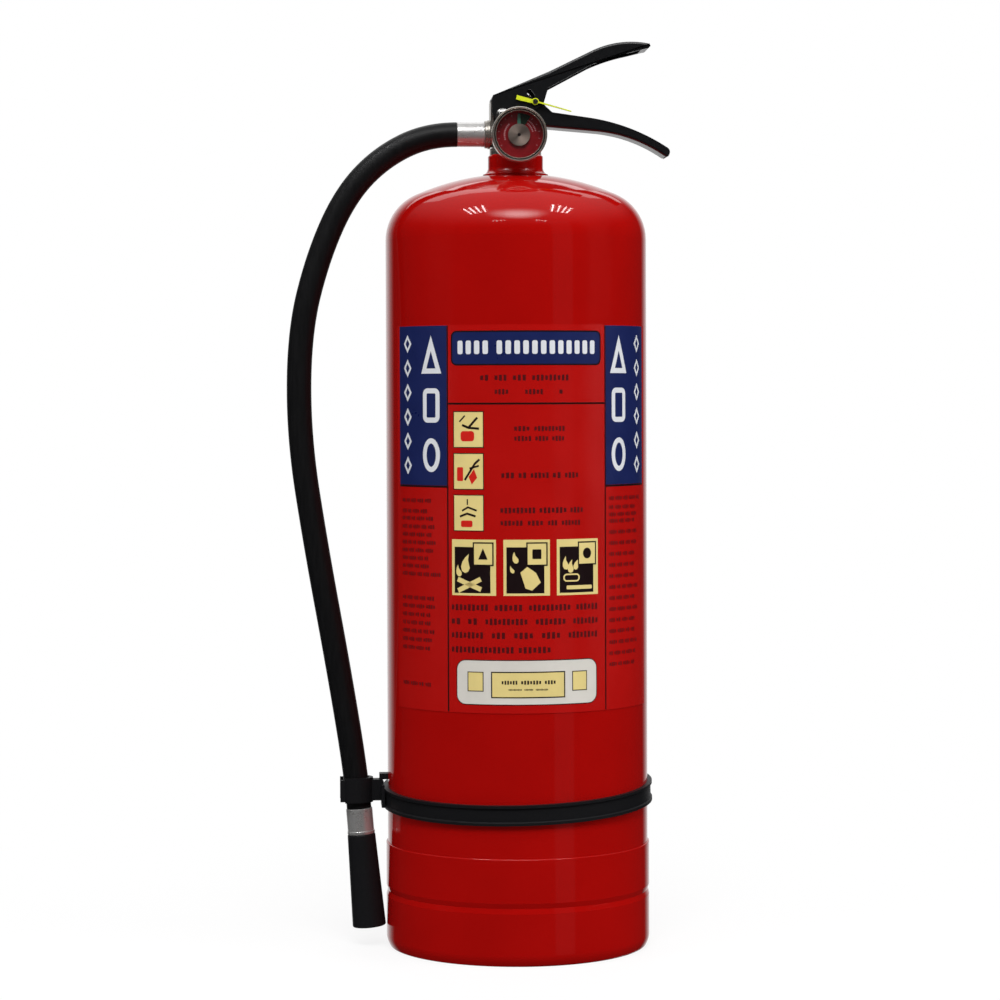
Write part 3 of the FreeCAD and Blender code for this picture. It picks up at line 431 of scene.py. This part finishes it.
def make_pressing(name, node, body, web_side):
    """A lever's shape with its web's long edges rounded, as bent sheet is.

    web_side is 1 where the web is on top of the cheeks, and -1 where it is below them.
    """
    bm = bmesh.new()
    bm.from_mesh(cad_nodes[node].data)
    bmesh.ops.remove_doubles(bm, verts=bm.verts, dist=1e-6)
    bmesh.ops.dissolve_limit(bm, angle_limit=math.radians(0.5), verts=bm.verts, edges=bm.edges)
    side = max(v.co.y for v in bm.verts)
    bends = []
    for edge in bm.edges:
        on_side = all(abs(abs(v.co.y) - side) < 1e-5 for v in edge.verts)
        along_web = any(f.normal.z * web_side > 0.2 and abs(f.normal.y) < 0.1
                        for f in edge.link_faces)
        if on_side and along_web and edge.calc_length() > BEND:
            bends.append(edge)
    bmesh.ops.bevel(bm, geom=bends, offset=BEND, segments=5, profile=0.5, affect="EDGES")
    piece = finished(add_piece(name, bm), black_paint)
    piece.modifiers.new("flat_cheeks", "WEIGHTED_NORMAL").keep_sharp = True
    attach(piece, body)
    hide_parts(node)


make_pressing("lever_pressing", "squeeze_lever", "lever", 1)
make_pressing("handle_pressing", "carry_handle", "cylinder", -1)


# ---------------------------------------------------------------- valve spring
def make_spring():
    """The valve spring as a steel copy of the CAD spring, which is hidden."""
    mesh = cad_nodes["valve_spring"].data.copy()
    mesh.materials.clear()
    spring = finished(add_mesh("spring_coil", mesh), steel)
    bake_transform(spring)
    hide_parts("valve_spring")


make_spring()

# ---------------------------------------------------------------- gauge
GAUGE_LOW, GAUGE_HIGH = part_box("gauge_bezel")
GAUGE_CENTRE = Vector(((GAUGE_LOW.x + GAUGE_HIGH.x) / 2, 0, (GAUGE_LOW.z + GAUGE_HIGH.z) / 2))
FRONT = Vector((0, -1, 0))
DIAL_FACE = 35.6             # millimetres in front of the cylinder's axis, as all gauge depths are
# painted highlight and shade on the hub: each wedge's place round the axis and its share of the
# hub's colour
SPIN_HIGHLIGHT_WEDGES = ((0.0, 0.85), (0.11, 0.5), (0.33, 1.75), (0.61, 0.5), (0.89, 1.45), (1.0, 0.85))


def plates(name, outlines, back, front, material, body):
    """Flat plates on the gauge: outlines in millimetres from its centre, from back to front."""
    bm = bmesh.new()
    for outline in outlines:
        rings = [[bm.verts.new(GAUGE_CENTRE + Vector((x, -depth, z)) * MM) for x, z in outline]
                 for depth in (back, front)]
        bm.faces.new(rings[0])
        bm.faces.new(rings[1])
        for k in range(len(outline)):
            n = (k + 1) % len(outline)
            bm.faces.new((rings[0][k], rings[0][n], rings[1][n], rings[1][k]))
    bmesh.ops.recalc_face_normals(bm, faces=bm.faces)
    piece = finished(add_piece(name, bm, smoothed=False), material)
    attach(piece, body)


def paint_spin_highlights(material, colour):
    """Painted highlight and shade: pale and dark wedges about the gauge's axis, as metal turned on
    a lathe reflects light.
    """
    tree = material.node_tree
    place = add_node(tree, "TexCoord")
    centred = add_node(tree, "Mapping", {"Vector": place.outputs["Object"],
                                         "Rotation": (math.radians(-90), 0, 0),
                                         "Location": (-GAUGE_CENTRE.x, -GAUGE_CENTRE.z, 0)})
    turn = add_node(tree, "TexGradient", {"Vector": centred.outputs["Vector"]},
                    gradient_type="RADIAL")
    wedges = add_node(tree, "ValToRGB", {"Fac": turn.outputs["Fac"]})
    wedges.color_ramp.interpolation = "EASE"
    elements = wedges.color_ramp.elements
    while len(elements) < len(SPIN_HIGHLIGHT_WEDGES):
        elements.new(0.5)
    for element, (position, level) in zip(elements, SPIN_HIGHLIGHT_WEDGES):
        element.position = position
        element.color = (*[c * level for c in colour], 1)
    tree.links.new(wedges.outputs["Color"], tree.nodes["Principled BSDF"].inputs["Base Color"])


def make_gauge():
    """The gauge's rolled rim with a dark ring of painted shade in its groove, spun hub with
    painted highlight wedges, needle and printed dial, all about its centre.
    """
    rim = turned("gauge_rim", [
        (18.0, 35.0), (18.8, 35.0), (18.8, 42.2), (18.6, 42.9), (18.2, 43.4), (17.8, 43.4),
        (17.4, 42.9), (17.2, 42.0), (16.9, 41.7), (16.6, 41.8), (16.5, 42.3), (16.2, 42.6),
        (15.95, 42.3), (15.9, 41.9), (15.9, 41.05), (18.0, 41.05),
    ], GAUGE_CENTRE, FRONT)
    finished(rim, gauge_steel)
    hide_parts("gauge_bezel")
    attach(rim, "cylinder")
    # a dark ring set in the rim's groove: painted shade
    gap = turned("gauge_rim_groove_shade", [(16.6, 41.75), (17.35, 41.75), (17.35, 42.35), (16.6, 42.35)],
                 GAUGE_CENTRE, FRONT)
    finished(gap, gauge_dark)
    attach(gap, "cylinder")
    # the hub's colour gets painted highlight and shade wedges
    paint_spin_highlights(hub_steel, HUB_COLOUR)
    hub = turned("hub_cap", [
        (0.0, 36.75), (7.3, 36.75), (7.5, 36.95), (7.5, 37.5), (7.35, 37.75), (7.0, 37.8),
        (4.0, 37.62), (1.3, 37.45), (1.15, 37.2), (0.0, 37.15),
    ], GAUGE_CENTRE, FRONT)
    finished(hub, hub_steel)
    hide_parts("gauge_hub")
    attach(hub, "needle")
    plates("hub_dimple", [oval(0, 0, 1.1, 1.1, 20)], 37.3, 37.4, gauge_dark,
           "needle")
    blade = [(-1.3, 5.0), (1.3, 5.0), (0.95, 13.4), (0.4, 14.2), (-0.4, 14.2), (-0.95, 13.4)]
    plates("needle_blade", [blade], 36.15, 36.72, needle_green, "needle")
    plates("dial_green_sector", [sector(7.0, 14.9, 58, 92)], DIAL_FACE, DIAL_FACE + 0.05,
           dial_green, "cylinder")
    ticks = [sector(9.4, 10.4, t, t + 4.2, 1) for t in range(132, 200, 7)]
    ticks += [sector(9.2, 10.1, t, t + 4.2, 1) for t in range(14, 52, 7)]
    ticks += [sector(11.2, 12.1, t, t + 3.6, 1) for t in range(14, 58, 6)]
    ticks += [sector(13.4, 14.4, t, t + 1.2, 1) for t in range(-30, 211, 20) if not 55 < t < 95]
    plates("dial_ticks", ticks, DIAL_FACE, DIAL_FACE + 0.05, dial_pale, "cylinder")


make_gauge()

# ---------------------------------------------------------------- label print
LABEL_RADIUS = max(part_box("label")[1].x, -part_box("label")[0].y)
LABEL_TURN = math.radians(1.3)
LAYER = 0.00005              # thickness of one layer of print
SLICE = 0.002                # width of the flat strips that follow the label's curve
TICK_PITCH = 0.72            # from tick to tick of small print, as a share of its height
TICK_WIDTH = 0.62            # as a share of the ticks' pitch


class Print:
    """One colour and layer of print, as flat shapes that are rolled onto the label.

    The shapes are in millimetres, across from the label's centre line and up from the base.
    """

    def __init__(self, name, material, layer):
        self.name = name
        self.material = material
        self.layer = layer
        self.bm = bmesh.new()

    def fill(self, points):
        self.bm.faces.new([self.bm.verts.new((x, 0, z)) for x, z in points])

    def stroke(self, points, width, closed=True):
        """A line of even width with mitred corners."""
        count = len(points)
        pairs = []
        for i in range(count):
            here = Vector(points[i])
            back = Vector(points[(i - 1) % count]) if closed or i else here
            ahead = Vector(points[(i + 1) % count]) if closed or i < count - 1 else here
            ways = [w.normalized() for w in (here - back, ahead - here) if w.length > 1e-9]
            sides = [Vector((-w.y, w.x)) for w in ways]
            side = sum(sides, Vector((0, 0))).normalized()
            reach = width / 2 / max(0.3, side.dot(sides[0]))
            pairs.append([self.bm.verts.new((p.x, 0, p.y))
                          for p in (here + side * reach, here - side * reach)])
        for i in range(count if closed else count - 1):
            (a, b), (c, d) = pairs[i], pairs[(i + 1) % count]
            self.bm.faces.new((a, b, d, c))

    def bar(self, x0, x1, z0, z1, corner=0.0):
        self.fill(rounded(x0, x1, z0, z1, corner))

    def frame(self, x0, x1, z0, z1, width, corner=0.0):
        self.stroke(rounded(x0, x1, z0, z1, corner), width)

    def words(self, x, z, lengths, gap, height):
        """A line of small print as groups of plain upright ticks, one group for each word."""
        pitch = TICK_PITCH * height
        for length in lengths:
            count = max(1, round(length / pitch))
            for k in range(count):
                left = x + k * length / count
                tall = height / 2 if k % 3 else height / 2.6
                self.bar(left, left + TICK_WIDTH * length / count, z - tall, z + tall)
            x += length + gap

    def make(self):
        """Cuts the shapes into strips, rolls them onto the label and gives them thickness."""
        bm = self.bm
        for vertex in bm.verts:
            vertex.co = (vertex.co.x * MM, 0, vertex.co.z * MM)
        low, high = (f(v.co.x for v in bm.verts) for f in (min, max))
        for k in range(math.ceil(low / SLICE), math.floor(high / SLICE) + 1):
            geometry = bm.verts[:] + bm.edges[:] + bm.faces[:]
            bmesh.ops.bisect_plane(bm, geom=geometry, plane_co=(k * SLICE, 0, 0),
                                   plane_no=(1, 0, 0))
        bmesh.ops.remove_doubles(bm, verts=bm.verts, dist=1e-7)
        for face in bm.faces:
            if face.normal.y > 0:
                face.normal_flip()
        radius = LABEL_RADIUS + self.layer * LAYER
        for vertex in bm.verts:
            angle = LABEL_TURN + vertex.co.x / LABEL_RADIUS
            vertex.co = (radius * math.sin(angle), -radius * math.cos(angle), vertex.co.z)
        bm.normal_update()
        bmesh.ops.solidify(bm, geom=bm.faces[:], thickness=LAYER)
        piece = finished(add_piece(self.name, bm, smoothed=False), self.material)
        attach(piece, "cylinder")


def side_panels(navy, edges):
    """A blue panel on each side of the label, and the line that runs down beside it."""
    for side in (-1, 1):
        x0, x1 = sorted((side * 57.0, side * 104.0))
        navy.bar(x0, x1, 320.0, 426.6)
        edges.bar(x0, x1, 318.6, 319.9)
        x0, x1 = sorted((side * 56.9, side * 55.9))
        edges.bar(x0, x1, 169.4, 426.6)


def title_box(navy, edges, marks):
    """A blue box with plain rounded blocks in it, one short group and one long."""
    navy.bar(-52.6, 51.6, 400.9, 422.0, 3.2)
    edges.frame(-53.1, 52.1, 400.4, 422.5, 1.0, 3.6)
    edges.bar(-55.8, 55.8, 374.0, 375.2)
    block, gap, group_gap = 3.7, 2.2, 5.8
    x = -48.5
    for count in (4, 12):
        for k in range(count):
            marks.bar(x, x + block, 407.4, 416.4, 1.2)
            x += block + gap
        x += group_gap - gap


def side_marks(marks):
    """A triangle, a box, a ring and six small diamonds on each side panel."""
    for side in (-1, 1):
        x = side * 70.0
        marks.stroke([(x - 6.4, 396.4), (x + 6.4, 396.4), (x, 415.0)], 3.4)
        marks.frame(x - 5.6, x + 5.6, 363.6, 383.2, 3.4, 2.4)
        marks.stroke(oval(x, 340.2, 5.8, 9.6), 3.4)
        for k in range(6):
            x, z = side * 93.5, 414.7 - 16.35 * k
            marks.stroke([(x - 3.4, z), (x, z - 4.6), (x + 3.4, z), (x, z + 4.6)], 1.7)


def small_print(small):
    """Lines of small print across the middle, and a narrow column under each side panel."""
    small.words(-32.4, 391.7, (6.5, 9.0, 9.7, 25.9), 3.2, 3.9)
    small.words(-22.6, 382.4, (9.8, 12.6, 3.5), 10.5, 3.5)
    small.words(-9.7, 358.0, (11.0, 21.5), 2.4, 3.4)
    small.words(-9.7, 351.4, (12.0, 9.5, 9.0), 2.0, 3.4)
    small.words(-18.4, 327.0, (9.5, 6.0, 13.0, 6.5, 10.5), 2.0, 3.8)
    small.words(-19.0, 303.8, (24.0, 19.5, 10.0), 2.0, 3.8)
    small.words(-19.0, 295.4, (15.5, 11.0, 7.0, 14.0), 2.6, 3.4)
    small.words(-53.6, 239.2, (27.0, 19.5, 29.5, 17.5), 3.4, 4.2)
    small.words(-53.6, 229.9, (7.5, 7.5, 29.0, 21.5, 20.0), 4.6, 4.2)
    small.words(-53.6, 220.7, (23.5, 10.0, 13.5, 13.5, 23.0), 5.0, 4.2)
    small.words(-53.6, 211.1, (44.0, 22.5), 2.4, 4.2)

    left_lines = [309.6, 302.5, 297.6, *(292.0 - 5.3 * k for k in range(7)),
                  *(244.1 - 5.6 * k for k in range(7)), 186.3]
    right_lines = [310.8, 304.8, 299.9, *(295.5 - 7.4 * k for k in range(14))]
    chance = random.Random(7)
    word_gap = 1.2
    for x0, x1, heights in ((-100.5, -63.9, left_lines), (60.0, 98.3, right_lines)):
        for z in heights:
            lengths = []
            while sum(lengths) + word_gap * len(lengths) < (x1 - x0) * chance.uniform(0.7, 0.85):
                lengths.append(chance.uniform(3.5, 9.0))
            small.words(x0, z, lengths, word_gap, 2.7)


def instruction_tiles(cream, edges, dark, red):
    """Three cream tiles, each with a simple picture of a squat body and a lever."""
    for z0, z1 in ((345.8, 369.0), (318.0, 341.2), (290.4, 313.6)):
        cream.bar(-51.4, -30.8, z0, z1)
        edges.frame(-51.7, -30.5, z0 - 0.3, z1 + 0.3, 0.6)
    red.bar(-46.5, -36.8, 349.6, 356.4, 2.0)
    dark.stroke([(-45.4, 360.4), (-40.8, 358.6), (-34.6, 365.4)], 1.5, closed=False)
    dark.stroke([(-40.8, 358.6), (-33.4, 358.0)], 1.5, closed=False)
    dark.stroke([(-47.4, 362.6), (-43.4, 366.6)], 1.0, closed=False)
    red.bar(-49.2, -44.8, 323.2, 332.4, 0.8)
    red.fill([(-38.6, 321.0), (-34.8, 325.4), (-37.0, 331.2), (-40.8, 326.0)])
    dark.stroke([(-43.6, 323.8), (-36.4, 334.8), (-33.2, 337.6)], 1.4, closed=False)
    dark.stroke([(-40.2, 331.6), (-33.6, 333.4)], 1.2, closed=False)
    red.bar(-46.4, -38.2, 292.6, 297.0, 1.2)
    dark.stroke([(-47.2, 299.6), (-42.0, 301.6), (-36.0, 299.8)], 1.4, closed=False)
    dark.stroke([(-45.6, 303.4), (-41.4, 305.8), (-35.2, 303.6)], 1.2, closed=False)
    dark.stroke([(-41.8, 307.4), (-41.8, 311.2)], 0.9, closed=False)


FLAME = [(0.0, -0.5), (0.17, -0.42), (0.24, -0.22), (0.17, -0.02), (0.1, 0.18), (0.12, 0.5),
         (-0.06, 0.3), (-0.2, 0.05), (-0.25, -0.2), (-0.17, -0.42)]
STICK = [(-0.5, -0.09), (0.5, -0.09), (0.5, 0.09), (-0.5, 0.09)]


def class_tiles(cream, dark, top):
    """Three black tiles in cream frames, with plain flames over bars, a drum and a burner."""
    shapes = (
        lambda x, z: [(x - 3.2, z - 3.6), (x + 3.2, z - 3.6), (x, z + 3.8)],
        lambda x, z: rounded(x - 3.0, x + 3.0, z - 3.2, z + 3.2, 0.6),
        lambda x, z: oval(x, z, 3.2, 3.6, 20),
    )
    for k, x0 in enumerate((-53.2, -17.2, 18.6)):
        x1, z0, z1 = x0 + 31.0, 247.2, 284.4
        cream.bar(x0, x1, z0, z1)
        dark.bar(x0 + 2.0, x1 - 3.8, z0 + 1.6, z1 - 5.0)
        top.bar(x0 + 15.6, x1 - 2.0, z1 - 17.0, z1 - 2.2)
        edge = Print(f"label_class_edge_{k + 1}", print_dark, 4)
        edge.frame(x0 + 15.6, x1 - 2.0, z1 - 17.0, z1 - 2.2, 0.9)
        edge.fill(shapes[k](x0 + 22.2, z1 - 9.6))
        edge.make()
    for x, z, size, turn in ((-43.0, 268.6, 13.0, -6), (-48.4, 263.6, 8.0, 18),
                             (-9.6, 272.4, 8.0, 20), (-11.8, 264.6, 5.5, 30),
                             (24.6, 268.6, 9.0, 10), (28.4, 266.4, 9.0, 0),
                             (32.6, 267.6, 7.5, -14)):
        top.fill(leaning(FLAME, x, z, size, turn))
    for z, turn in ((254.2, 26), (254.6, -22)):
        top.fill(leaning(STICK, -40.6, z, 18.0, turn))
    top.fill([(-6.0, 262.6), (-1.4, 266.4), (4.4, 262.4), (7.6, 256.0), (1.8, 250.6),
              (-2.6, 252.0)])
    top.frame(23.6, 34.6, 256.6, 261.0, 1.0, 2.0)
    top.bar(25.4, 44.6, 251.0, 253.6, 0.8)


def foot_plate(white, edges, dark, plate_bar, plate_marks):
    """A plain white plate with a cream bar, two cream squares and two lines of ticks."""
    white.bar(-49.6, 48.0, 175.0, 204.0, 6.0)
    edges.frame(-49.9, 48.3, 174.7, 204.3, 0.6, 6.3)
    plate_bar.bar(-25.0, 23.4, 180.0, 196.0)
    dark.frame(-25.4, 23.8, 179.6, 196.4, 0.8)
    for x in (-36.5, 34.9):
        plate_bar.bar(x - 5.0, x + 5.0, 184.0, 196.0)
        dark.frame(x - 5.3, x + 5.3, 183.7, 196.3, 0.6)
    plate_marks.words(-18.6, 189.6, (11.0, 14.0, 8.0), 1.9, 2.6)
    plate_marks.words(-14.0, 184.8, (9.0, 6.0, 8.5), 1.5, 1.2)


def make_label_print():
    """All the print on the label, laid out as in the photograph but with no lettering."""
    navy = Print("label_navy", print_navy, 1)
    cream = Print("label_cream", print_cream, 1)
    white = Print("label_white", print_plate, 1)
    edges = Print("label_edges", print_dark, 1)
    small = Print("label_small_print", print_text, 1)
    marks = Print("label_marks", print_white, 2)
    dark = Print("label_dark_marks", print_dark, 2)
    red = Print("label_red_marks", print_red, 2)
    top = Print("label_top_marks", print_cream, 3)
    plate_bar = Print("label_plate_bar", print_cream, 2)
    plate_marks = Print("label_plate_marks", print_dark, 3)
    side_panels(navy, edges)
    title_box(navy, edges, marks)
    side_marks(marks)
    small_print(small)
    instruction_tiles(cream, edges, dark, red)
    class_tiles(cream, dark, top)
    foot_plate(white, edges, dark, plate_bar, plate_marks)
    for layer in (navy, cream, white, edges, small, marks, dark, red, top, plate_bar, plate_marks):
        layer.make()


make_label_print()

# ---------------------------------------------------------------- stage and light
WHITE = (1.0, 1.0, 1.0, 1.0)
FLOOR_BOUNCE = 0.35          # how bright the floor is to the object; the camera sees it as white
FLOOR_GLOW = 0.84            # share of the glow in the floor next to the object
FLOOR_NEAR, FLOOR_FAR = 0.12, 0.6    # where the floor starts to fade to white, and is all white
CHEST = (0, 0, 0.4)          # where the lights aim

# the soft oval that a diffusing panel, overhead in front, makes on the dome, as directions
PANEL_WIDTH, PANEL_DEPTH, PANEL_HEIGHT = 0.34, 0.9, 0.13
PANEL_LEFT, PANEL_FORWARD, PANEL_RISE = 0.017, 0.66, 0.75
PANEL_LEVEL = 6.5

# two rows of ceiling tubes in front, four on each side
TUBE_HEIGHT, TUBE_THICKNESS = 2.4, 0.035
TUBE_START, TUBE_PITCH, TUBE_SHIFT = 0.86, 0.18, 0.06     # the second row is further in
TUBE_FAN = math.radians(15.0)
TUBE_ROWS = ((-0.8, 0.75, 2.6), (-2.88, 0.3, 0.7))       # place along Y, length, watts


def make_floor():
    """A pale floor that grows as bright as the backdrop away from the object."""
    bm = bmesh.new()
    bmesh.ops.create_circle(bm, cap_ends=True, radius=30.0, segments=96)
    floor = add_piece("floor", bm, smoothed=False)
    floor.visible_glossy = False
    material = bpy.data.materials.new("floor")
    material.use_nodes = True
    tree = material.node_tree
    shader = tree.nodes["Principled BSDF"]
    shader.inputs["Base Color"].default_value = (0.86, 0.86, 0.86, 1)
    shader.inputs["Roughness"].default_value = 0.6
    shader.inputs["Specular IOR Level"].default_value = 0.2
    seen = add_node(tree, "LightPath")
    level = add_node(tree, "MapRange", {"Value": seen.outputs["Is Camera Ray"],
                                        "To Min": FLOOR_BOUNCE})
    glow = add_node(tree, "Emission", {"Strength": level.outputs["Result"]})
    place = add_node(tree, "TexCoord")
    distance = add_node(tree, "VectorMath", {0: place.outputs["Object"]}, operation="LENGTH")
    fade = add_node(tree, "MapRange", {"Value": distance.outputs["Value"], "To Min": FLOOR_GLOW,
                                       "From Min": FLOOR_NEAR, "From Max": FLOOR_FAR},
                    interpolation_type="SMOOTHSTEP")
    mix = add_node(tree, "MixShader", {"Fac": fade.outputs["Result"], 1: shader.outputs["BSDF"],
                                       2: glow.outputs["Emission"]})
    tree.links.new(mix.outputs["Shader"], tree.nodes["Material Output"].inputs["Surface"])
    floor.data.materials.append(material)


def make_world():
    """White backdrop; for light and reflections, a soft bright ceiling and a dim room in front."""
    world = bpy.data.worlds.new("studio")
    scene.world = world
    world.use_nodes = True
    tree = world.node_tree
    background = tree.nodes["Background"]
    direction = add_node(tree, "TexCoord").outputs["Generated"]
    split = add_node(tree, "SeparateXYZ", {"Vector": direction})

    def ramp(value, low, high, start, end):
        node = add_node(tree, "MapRange", {"Value": value, "From Min": low, "From Max": high,
                                           "To Min": start, "To Max": end},
                        interpolation_type="SMOOTHSTEP")
        return node.outputs["Result"]

    ceiling = ramp(split.outputs["Z"], 0.30, 1.0, 0.015, 0.5)
    backdrop = ramp(split.outputs["Y"], 0.76, 1.0, 0.0, 0.95)
    room = add_node(tree, "Math", {0: ceiling, 1: backdrop}, operation="MAXIMUM")
    from_panel = add_node(tree, "Mapping", {
        "Vector": direction, "Scale": (1 / PANEL_WIDTH, 1 / PANEL_DEPTH, 1 / PANEL_HEIGHT),
        "Location": (PANEL_LEFT / PANEL_WIDTH, PANEL_FORWARD / PANEL_DEPTH,
                     -PANEL_RISE / PANEL_HEIGHT),
    })
    distance = add_node(tree, "VectorMath", {0: from_panel.outputs["Vector"]}, operation="LENGTH")
    panel = ramp(distance.outputs["Value"], 0.1, 1.3, PANEL_LEVEL, 0.0)
    light = add_node(tree, "Math", {0: room.outputs["Value"], 1: panel}, operation="ADD")
    seen = add_node(tree, "LightPath")
    choice = add_node(tree, "Mix", {"Factor": seen.outputs["Is Camera Ray"],
                                    "A": light.outputs["Value"], "B": WHITE}, data_type="RGBA")
    tree.links.new(choice.outputs["Result"], background.inputs["Color"])
    background.inputs["Strength"].default_value = 1.0


def area_light(name, place, target, size, power):
    """A rectangular light that faces its target, and that the camera doesn't see."""
    data = bpy.data.lights.new(name, "AREA")
    data.shape = "RECTANGLE"
    data.size, data.size_y = size
    data.energy = power
    light = bpy.data.objects.new(name, data)
    scene.collection.objects.link(light)
    light.location = place
    light.rotation_mode = "QUATERNION"
    light.rotation_quaternion = (Vector(target) - Vector(place)).to_track_quat("-Z", "Y")
    light.visible_camera = False
    return light


def make_lights():
    """A key overhead in front, fills at the sides, a back panel, a dim card and ceiling tubes."""
    for name, place, size, power in (("key", (-0.05, -2.0, 2.75), (1.9, 1.15), 55.0),
                                     ("left_fill", (-2.4, -0.7, 1.0), (1.2, 1.8), 13.0),
                                     ("right_fill", (2.4, -0.7, 1.0), (1.2, 1.8), 26.0)):
        area_light(name, place, CHEST, size, power).visible_glossy = False
    area_light("back_panel", (0, 2.0, 2.4), CHEST, (3.0, 1.5), 15.0)
    area_light("side_card", (1.5, -2.0, 0.6), CHEST, (0.8, 2.6), 0.4)
    for row, (y, length, power) in enumerate(TUBE_ROWS):
        for side in (-1, 1):
            for k in range(4):
                x = side * (TUBE_START + TUBE_PITCH * k - TUBE_SHIFT * row)
                light = area_light(f"tube_{row}_{side}_{k}", (x, y, TUBE_HEIGHT), (x, y, 0),
                                   (TUBE_THICKNESS, length), power)
                light.rotation_quaternion = Quaternion((0, 0, 1), side * TUBE_FAN)


make_floor()
make_world()
make_lights()
scene.view_settings.view_transform = "Standard"
